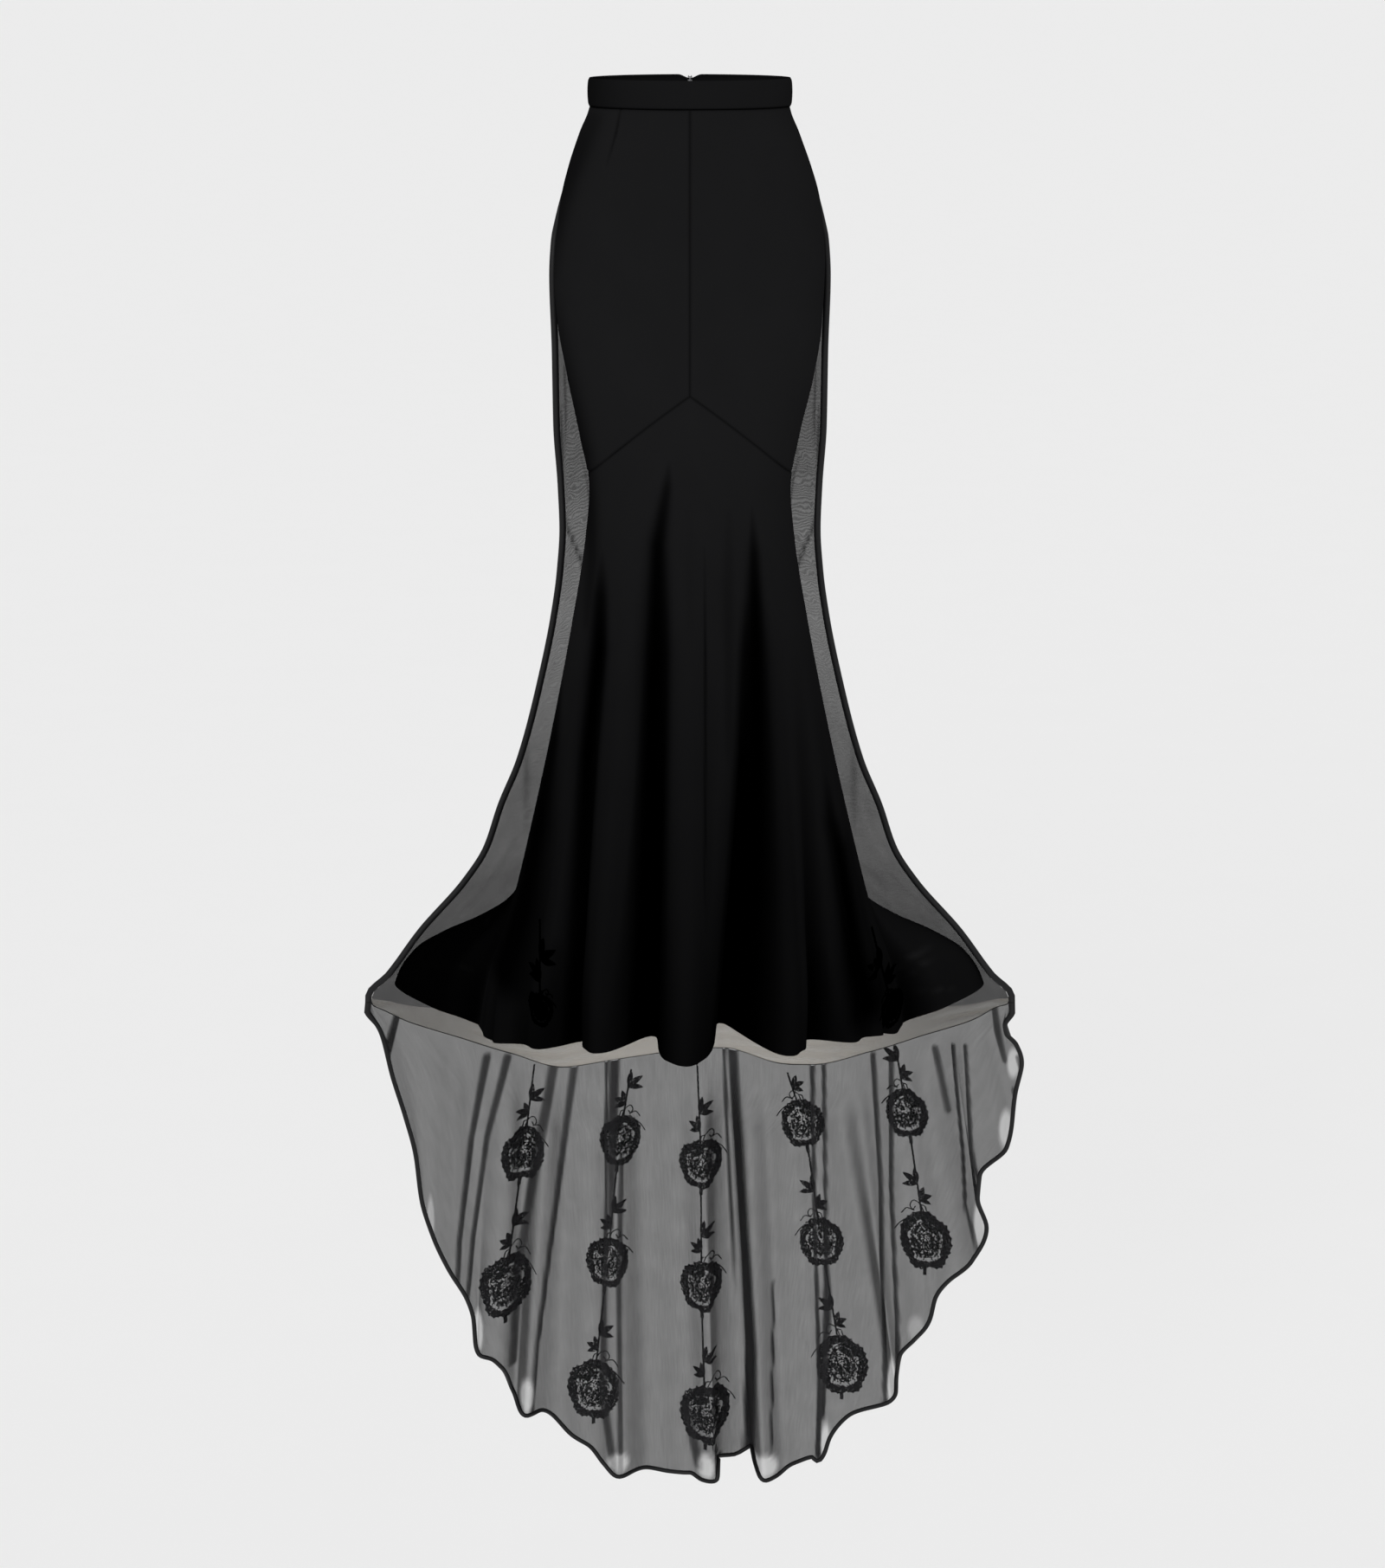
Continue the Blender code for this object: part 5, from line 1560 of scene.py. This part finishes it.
class Lace:
    """Collects the strips of one piece of lace, and sews them to its ground as closed walls."""

    def __init__(self, ground):
        self.ground = ground
        self.points = []
        self.faces = []
        self.kinds = []

    def strip(self, path, half_width):
        """A strip along a path, raised in the middle like a cord. Widths follow the path."""
        run, _ = runs(path)
        aside = np.stack([-run[:, 1], run[:, 0]], axis=1)
        half = np.broadcast_to(half_width, (len(path),))[:, None]
        flat = np.stack([path - aside * half, path, path + aside * half], axis=1)
        self.patch(flat, STRIP_HEIGHTS, 0)

    def patch(self, flat, height, kind):
        """A closed wall over a grid of places, as high as the height of each column. Its kind is the
        number of its material on the piece."""
        points, out = self.ground.place(flat)
        points = points + out * LACE_LIFT
        high = points + out * np.broadcast_to(height, flat.shape[:2])[..., None]
        facing = (grid_normals(high) * out).sum()
        if facing < 0:
            high, points = high[:, ::-1], points[:, ::-1]
        rows, columns = flat.shape[:2]
        count = rows * columns
        start = sum(len(part) for part in self.points)
        at = np.arange(count).reshape(rows, columns)
        a, b, c, d = at[:-1, :-1], at[1:, :-1], at[1:, 1:], at[:-1, 1:]
        ring = np.concatenate([at[0], at[1:, -1], at[-1, -2::-1], at[-2::-1, 0]])
        rim = np.stack([ring[:-1], ring[1:], count + ring[1:], count + ring[:-1]], axis=-1)
        quads = (np.stack([a, b, c, d], axis=-1), count + np.stack([a, d, c, b], axis=-1), rim)
        faces = np.concatenate([part.reshape(-1, 4) for part in quads]) + start
        self.points += [high.reshape(-1, 3), points.reshape(-1, 3)]
        self.faces.append(faces)
        self.kinds.append(np.full(len(faces), kind))

    def mesh(self, name):
        mesh = bpy.data.meshes.new(name)
        mesh.from_pydata(np.concatenate(self.points).tolist(), [], np.concatenate(self.faces).tolist())
        mesh.polygons.foreach_set("material_index", np.concatenate(self.kinds).astype(np.int32))
        mesh.shade_smooth()
        mesh.set_sharp_from_angle(angle=SHARP_ANGLE)
        return mesh


def smooth_line(across, up, count):
    """A curve through a few places."""
    step = np.hypot(np.diff(across), np.diff(up)).cumsum()
    place = {"at": np.concatenate([[0], step]), "across": across, "up": up}
    at = np.linspace(0, step[-1], count)
    return np.stack([along(place, "at", "across", at), along(place, "at", "up", at)], axis=1)


def head_place(turn, radius):
    """Where an angle and a radius fall in a rose's head, which is squarer than round."""
    x, z = np.cos(turn), np.sin(turn)
    x = np.sign(x) * np.abs(x) ** HEAD_POWER
    z = np.sign(z) * np.abs(z) ** HEAD_POWER
    narrower = 1 - HEAD_NARROWING * np.clip(-z, 0, 1)
    lobes = 1 + HEAD_LOBES * np.cos(5 * turn - 0.8)
    return x * radius * narrower * lobes, z * radius * lobes


def sew_rose(lace, across, down, half_width, half_height, leaf_side):
    """The petals as arcs, cords and a fine mesh between them, and the curl and tendrils."""

    def placed(x, up):
        return np.stack([across + leaf_side * x * half_width, -down + up * half_height], axis=-1)

    size = (half_width + half_height) / 2
    for start, stop, radius, half in zip(*PETALS.values()):
        count = int(8 + (stop - start) / 8)
        turn = np.radians(np.linspace(180 - stop, 180 - start, count))
        x, up = head_place(turn, radius)
        taper = np.sin(np.linspace(0.12, math.pi - 0.12, count)) ** 0.45
        scallop = 1 + PETAL_SCALLOP * np.sin(np.arange(count) * 2.1 + start)
        lace.strip(placed(x, up), half * taper * scallop * size)
    for step in range(RING_CORDS):
        turn = np.radians(100 + step * 13.9)
        ends = np.array((turn, turn + 0.16 * (-1) ** step))
        x, up = head_place(ends, np.array(RING_REACH))
        lace.strip(placed(x, up), CORD_HALF_WIDTH * 0.6)
    for step in range(HEART_CORDS):
        turn = np.radians(168 + step * 21.0)
        ends = np.array((turn, turn + 0.45 * (-1) ** step, turn + 0.1))
        x, up = head_place(ends, np.array(HEART_REACH))
        path = placed(x, up)
        lace.strip(smooth_line(path[:, 0], path[:, 1], 6), CORD_HALF_WIDTH)
    turn, radius = np.meshgrid(np.radians(np.linspace(100, 460, 41)), MESH_RINGS, indexing="ij")
    x, up = head_place(turn, radius)
    lace.patch(placed(x, up), np.full(len(MESH_RINGS), LACE_THICKNESS * 0.3), 1)
    for line in lines(TENDRILS):
        path = placed(line["across"], line["up"])
        lace.strip(smooth_line(path[:, 0], path[:, 1], 12), CORD_HALF_WIDTH)


def sew_leaves(lace, stem, top, leaf_side):
    """Two sprigs of three leaflets on the stem over a rose whose top is given."""
    for above, side, slant, length, half in zip(*LEAFLETS.values()):
        down = top - above
        if down < stem["down"][0] + 0.004:
            continue
        start = float(along(stem, "down", "across", np.array([down]))[0])
        turn = math.radians(slant)
        reach = np.linspace(0.0005, length, LEAF_POINTS)
        across = start + leaf_side * side * reach * math.cos(turn)
        up = -down + reach * math.sin(turn) + LEAF_ARCH * np.sin(reach / length * math.pi)
        width = half * np.sin(np.linspace(0.35, math.pi - 0.08, LEAF_POINTS))
        lace.strip(np.stack([across, up], axis=1), width)


def sew_stem(lace, stem, start, stop, half_width):
    """A cord down part of a stem, swaying slightly as thread does."""
    downs = np.linspace(start, stop, max(4, int((stop - start) / 0.003)))
    across = along(stem, "down", "across", downs) + STEM_SWAY * np.sin(downs * 900.0)
    lace.strip(np.stack([across, -downs], axis=1), half_width)


def make_roses(context):
    """Five columns of lace roses on the outer face of the train."""
    ground = Ground(["train_net"], 1)
    for column, leaf_side in zip(STEMS["column"], STEMS["leaf_side"]):
        lace = Lace(ground)
        top = int(column) - 1
        chosen = [i for i, number in enumerate(ROSES["column"]) if number == column]
        heads = [(ROSES["down"][i], ROSES["across"][i]) for i in chosen]
        stem = table("down across", (STEMS["down"][top], STEMS["across"][top]), *heads)
        start = STEMS["down"][top] + 0.001
        for i in chosen:
            across, down = ROSES["across"][i], ROSES["down"][i]
            wide, high = ROSES["half_width"][i], ROSES["half_height"][i]
            sew_stem(lace, stem, start, down - high * STEM_UNDER, STEM_HALF_WIDTH)
            sew_leaves(lace, stem, down - high, leaf_side)
            sew_rose(lace, across, down, wide, high, leaf_side)
            foot = down + high * HEAD_FOOT
            below = table("down across", (down, across), (foot + STUB_LENGTH, across))
            follow = stem if i != chosen[-1] else below
            stub_end = foot + STUB_LENGTH * 0.6
            sew_stem(lace, follow, down + high * STUB_UNDER, stub_end, STUB_HALF_WIDTH)
            start = foot + STUB_LENGTH * 0.5
        name = f"rose_column_{int(column)}"
        both = [finishes["lace"], finishes["lace_mesh"]]
        finished(name + "_lace", lace.mesh(name), both, [name])


def make_black_roses(context):
    """A faint black rose on the black cloth at each side."""
    for side, across, down, wide, high, stem_across, stem_down in zip(*BLACK_ROSES.values()):
        name = "left" if side > 0 else "right"
        ground = Ground([f"back_flounce_{name}_cloth", "front_flounce_cloth"], -1)
        lace = Lace(ground)
        stem = table("down across", (stem_down, stem_across), (down, across))
        sew_stem(lace, stem, stem_down, down - high * STEM_UNDER, STEM_HALF_WIDTH * 0.8)
        sew_leaves(lace, stem, down - high, -side)
        sew_rose(lace, across, down, wide, high, -side)
        piece_name = f"black_rose_{name}_lace"
        finished(piece_name, lace.mesh(piece_name), [finishes["black_lace"]] * 2, [])


def make_zip(context):
    """The concealed zip's tape. Its slider and pull are the frame's own, in dark metal."""
    half = math.degrees(TAPE_HALF_WIDTH / BODY["back"][1])
    columns = np.linspace(180 - half, 180 + half, TAPE_COLUMNS)
    rows = np.linspace(WAIST_SEAM + 0.001, TAPE_FOOT, TAPE_ROWS)
    u, v = np.meshgrid(columns, rows)
    points = skirt_surface(u, v)
    points = points - grid_normals(points) * TAPE_INSET
    mesh = cloth_mesh("zip_tape_cloth", points, TAPE_THICKNESS)
    finished("zip_tape_cloth", mesh, [finishes["binding"]], ["zip_tape"])
    for name in ("zip_slider", "zip_pull"):
        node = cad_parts[name]
        node.data.materials.clear()
        node.data.materials.append(finishes["metal"])


def make_stage(context):
    """A pale floor, lit from all round, with a soft key light from in front and a little above."""
    studio = context.scene.skirt_studio
    bpy.ops.object.select_all(action="DESELECT")
    bpy.ops.mesh.primitive_plane_add(size=900, location=(0, 0, studio.floor_height))
    floor = context.object
    floor.name = "studio_floor"
    paper = Finish("studio_paper", Roughness=0.95, Specular_IOR_Level=0.1)
    place = paper.node("ShaderNodeTexCoord", None, None, "Object")
    shade = studio.floor_colour
    mottle = paper.noise(place, 3.0)
    paper.set("Base Color", paper.tint(shaded(shade, 0.995), shaded(shade, 1.005), mottle))
    floor.data.materials.append(paper.material)
    world = bpy.data.worlds.new("studio_light")
    world.use_nodes = True
    sky = world.node_tree.nodes["Background"]
    sky.inputs["Color"].default_value = (1.0, 1.0, 1.0, 1.0)
    sky.inputs["Strength"].default_value = studio.sky_strength
    context.scene.world = world
    from_key = (math.radians(KEY_TILT), 0, math.radians(KEY_TURN))
    bpy.ops.object.light_add(type="SUN", rotation=from_key)
    sun = context.object
    sun.name = "studio_key"
    sun.data.energy = studio.key_strength
    sun.data.angle = math.radians(KEY_SPREAD)
    context.scene.view_settings.view_transform = "Standard"


def make_camera(context):
    data = bpy.data.cameras.new("studio_camera")
    data.lens = CAMERA_LENS
    data.sensor_width = CAMERA_SENSOR
    data.clip_end = 500.0
    camera = bpy.data.objects.new("studio_camera", data)
    camera.location = CAMERA_PLACE
    camera.rotation_euler = (math.radians(90 - CAMERA_TILT), 0, 0)
    context.scene.collection.objects.link(camera)
    context.scene.camera = camera


def make_finishes(context):
    colours = context.scene.skirt_colours
    finishes["crepe"] = crepe_finish("crepe_black", colours.crepe, roughness=0.62)
    finishes["band"] = crepe_finish("crepe_band", shaded(colours.crepe, 0.92), roughness=0.58)
    side_net = net_finish("net_black_side", colours.net, pitch=0.0013, streak=0.03, ripple=0.10)
    train_net = net_finish("net_black_train", colours.net, pitch=0.0011, streak=0.20, ripple=0.0)
    pale_net = net_finish("net_pale", colours.pale_net, pitch=0.0011, streak=0.05, ripple=0.0)
    finishes.update(side_net=side_net, train_net=train_net, pale_net=pale_net)
    finishes["binding"] = binding_finish("binding_black", colours.binding)
    finishes["lace"] = lace_finish("lace_corded", colours.lace, open_share=0.29)
    finishes["lace_mesh"] = lace_finish("lace_open_mesh", colours.lace, open_share=0.52)
    # Lace has no painted tone, so this one stays fully black.
    finishes["black_lace"] = crepe_finish("lace_black", shaded(colours.lace, 0.1), roughness=0.9)
    finishes["metal"] = metal_finish("zip_metal_dark", colours.metal)


def length_of(name, text, default):
    """A length or a height, in metres."""
    return bpy.props.FloatProperty(name=name, description=text, default=default, unit="LENGTH")


def strength_of(name, text, default):
    return bpy.props.FloatProperty(name=name, description=text, default=default, min=0.0)


def cut_of(name, text, default):
    """The width and length of a cut piece, in metres."""
    kept = {"name": name, "description": text, "default": default}
    return bpy.props.FloatVectorProperty(**kept, min=0.0, size=2, unit="LENGTH")


def share_of(name, text, default):
    kept = {"name": name, "description": text, "default": default}
    return bpy.props.FloatProperty(**kept, min=0.0, max=1.0, subtype="FACTOR")


def colour_of(name, text, default):
    kept = {"name": name, "description": text, "default": default}
    return bpy.props.FloatVectorProperty(**kept, min=0.0, max=1.0, subtype="COLOR")


class SkirtSizes(bpy.types.PropertyGroup):
    """The sizes the cloth is cut to"""

    waist_cut: length_of("Waist", "Cut length of the waistband", 0.655)
    panel: cut_of("Upper panel", "Width and length of an upper panel", (0.226, 0.440))
    panel_share: share_of("Panel share", "Share of that rectangle the panel fills", 0.80)
    front: cut_of("Front flounce", "Width at the hem and length", (1.260, 0.780))
    front_share: share_of("Front share", "Share of that rectangle it fills", 0.47)
    back: cut_of("Back flounce", "Width at the hem and length", (0.655, 0.930))
    back_share: share_of("Back share", "Share of that rectangle it fills", 0.42)
    overlay: cut_of("Side net", "Width at the hem and length of half the net", (0.536, 1.288))
    overlay_share: share_of("Net share", "Share of that rectangle it fills", 0.50)
    band: cut_of("Pale band", "Length of its seam and depth at its middle", (1.103, 0.056))
    band_share: share_of("Band share", "Share of that rectangle it fills", 0.66)
    train: cut_of("Train", "Width at the hem and length at its middle", (1.950, 0.615))
    train_share: share_of("Train share", "Share of that rectangle it fills", 0.42)
    tape: cut_of("Zip tape", "Width and length of the zip's tape", (0.026, 0.190))


class SkirtColours(bpy.types.PropertyGroup):
    """The colours of the cloth, lace and metal"""

    crepe: colour_of("Crepe", "The opaque cloth", (0.0085, 0.0085, 0.0089))
    net: colour_of("Net", "The sheer black net", (0.0120, 0.0120, 0.0130))
    pale_net: colour_of("Pale net", "The pale band above the train", (0.28, 0.255, 0.215))
    binding: colour_of("Binding", "Bindings and zip tape", (0.0060, 0.0060, 0.0066))
    lace: colour_of("Lace", "The lace roses", (0.0022, 0.0022, 0.0024))
    metal: colour_of("Zip metal", "The slider and pull", (0.12, 0.12, 0.125))


class SkirtNet(bpy.types.PropertyGroup):
    """How close each net is"""

    side_cover: share_of("Side cover", "How much one face of the side net hides", 0.63)
    train_cover: share_of("Train cover", "How much one face of the train's net hides", 0.53)
    band_cover: share_of("Band cover", "How much one face of the pale band hides", 0.58)


class SkirtStudio(bpy.types.PropertyGroup):
    """The floor and the lights"""

    floor_height: length_of("Floor", "Height of the floor", -3.4)
    floor_colour: colour_of("Floor colour", "The pale floor", (0.90, 0.90, 0.90))
    sky_strength: strength_of("Sky", "Strength of the light all round", 0.86)
    key_strength: strength_of("Key", "Strength of the key light", 0.9)


class SKIRT_OT_finishes(bpy.types.Operator):
    """Makes the materials of every piece"""

    bl_idname = "skirt.finishes"
    bl_label = "Finishes"

    def execute(self, context):
        make_finishes(context)
        return {"FINISHED"}


class SKIRT_OT_stage(bpy.types.Operator):
    """Makes the floor, the lights and the camera"""

    bl_idname = "skirt.stage"
    bl_label = "Studio"

    def execute(self, context):
        make_stage(context)
        make_camera(context)
        return {"FINISHED"}


class SKIRT_OT_waistband(bpy.types.Operator):
    """Makes the waistband"""

    bl_idname = "skirt.waistband"
    bl_label = "Waistband"

    def execute(self, context):
        make_waistband(context)
        return {"FINISHED"}


class SKIRT_OT_upper_panels(bpy.types.Operator):
    """Makes the four fitted panels"""

    bl_idname = "skirt.upper_panels"
    bl_label = "Upper panels"

    def execute(self, context):
        make_upper_panels(context)
        return {"FINISHED"}


class SKIRT_OT_flounces(bpy.types.Operator):
    """Makes the flared lower skirt"""

    bl_idname = "skirt.flounces"
    bl_label = "Flounces"

    def execute(self, context):
        make_flounces(context)
        return {"FINISHED"}


class SKIRT_OT_bindings(bpy.types.Operator):
    """Makes the bindings of the net and train"""

    bl_idname = "skirt.bindings"
    bl_label = "Bindings"

    def execute(self, context):
        make_bindings(context)
        return {"FINISHED"}


class SKIRT_OT_overlays(bpy.types.Operator):
    """Makes the two halves of the net"""

    bl_idname = "skirt.overlays"
    bl_label = "Side net"

    def execute(self, context):
        make_overlays(context)
        return {"FINISHED"}


class SKIRT_OT_pale_band(bpy.types.Operator):
    """Makes the pale band and the seam below it"""

    bl_idname = "skirt.pale_band"
    bl_label = "Pale band"

    def execute(self, context):
        make_pale_band(context)
        return {"FINISHED"}


class SKIRT_OT_train(bpy.types.Operator):
    """Makes the train"""

    bl_idname = "skirt.train"
    bl_label = "Train"

    def execute(self, context):
        make_train(context)
        return {"FINISHED"}


class SKIRT_OT_roses(bpy.types.Operator):
    """Sews the lace to the train"""

    bl_idname = "skirt.roses"
    bl_label = "Lace roses"

    def execute(self, context):
        make_roses(context)
        return {"FINISHED"}


class SKIRT_OT_black_roses(bpy.types.Operator):
    """Sews the faint lace to the black cloth"""

    bl_idname = "skirt.black_roses"
    bl_label = "Black roses"

    def execute(self, context):
        make_black_roses(context)
        return {"FINISHED"}


class SKIRT_OT_zip(bpy.types.Operator):
    """Makes the zip's tape and finishes its metal"""

    bl_idname = "skirt.zip"
    bl_label = "Zip"

    def execute(self, context):
        make_zip(context)
        return {"FINISHED"}


class SKIRT_OT_cuts(bpy.types.Operator):
    """Does nothing: the size each sheet is cut to is kept in the scene's skirt sizes."""

    bl_idname = "skirt.cuts"
    bl_label = "Cuts"

    def execute(self, context):
        return {"FINISHED"}


# In the order the pieces are made, because each needs those before it.
OPERATORS = (
    SKIRT_OT_finishes,
    SKIRT_OT_stage,
    SKIRT_OT_waistband,
    SKIRT_OT_upper_panels,
    SKIRT_OT_flounces,
    SKIRT_OT_bindings,
    SKIRT_OT_overlays,
    SKIRT_OT_pale_band,
    SKIRT_OT_train,
    SKIRT_OT_roses,
    SKIRT_OT_black_roses,
    SKIRT_OT_zip,
    SKIRT_OT_cuts,
)


class SKIRT_PT_panel(bpy.types.Panel):
    """Lists the skirt's pieces"""

    bl_idname = "SKIRT_PT_panel"
    bl_label = "Mermaid skirt"
    bl_space_type = "VIEW_3D"
    bl_region_type = "UI"
    bl_category = "Skirt"

    def draw(self, context):
        for made in OPERATORS:
            self.layout.operator(made.bl_idname)


GROUPS = {
    "skirt_sizes": SkirtSizes,
    "skirt_colours": SkirtColours,
    "skirt_net": SkirtNet,
    "skirt_studio": SkirtStudio,
}


def register():
    for made in (*GROUPS.values(), *OPERATORS, SKIRT_PT_panel):
        bpy.utils.register_class(made)
    for name, group in GROUPS.items():
        setattr(bpy.types.Scene, name, bpy.props.PointerProperty(type=group))


def unregister():
    for name in GROUPS:
        delattr(bpy.types.Scene, name)
    for made in reversed((*GROUPS.values(), *OPERATORS, SKIRT_PT_panel)):
        bpy.utils.unregister_class(made)


def main():
    register()
    for made in OPERATORS:
        name = made.bl_idname.split(".")[1]
        getattr(bpy.ops.skirt, name)()


if __name__ == "__main__":
    main()
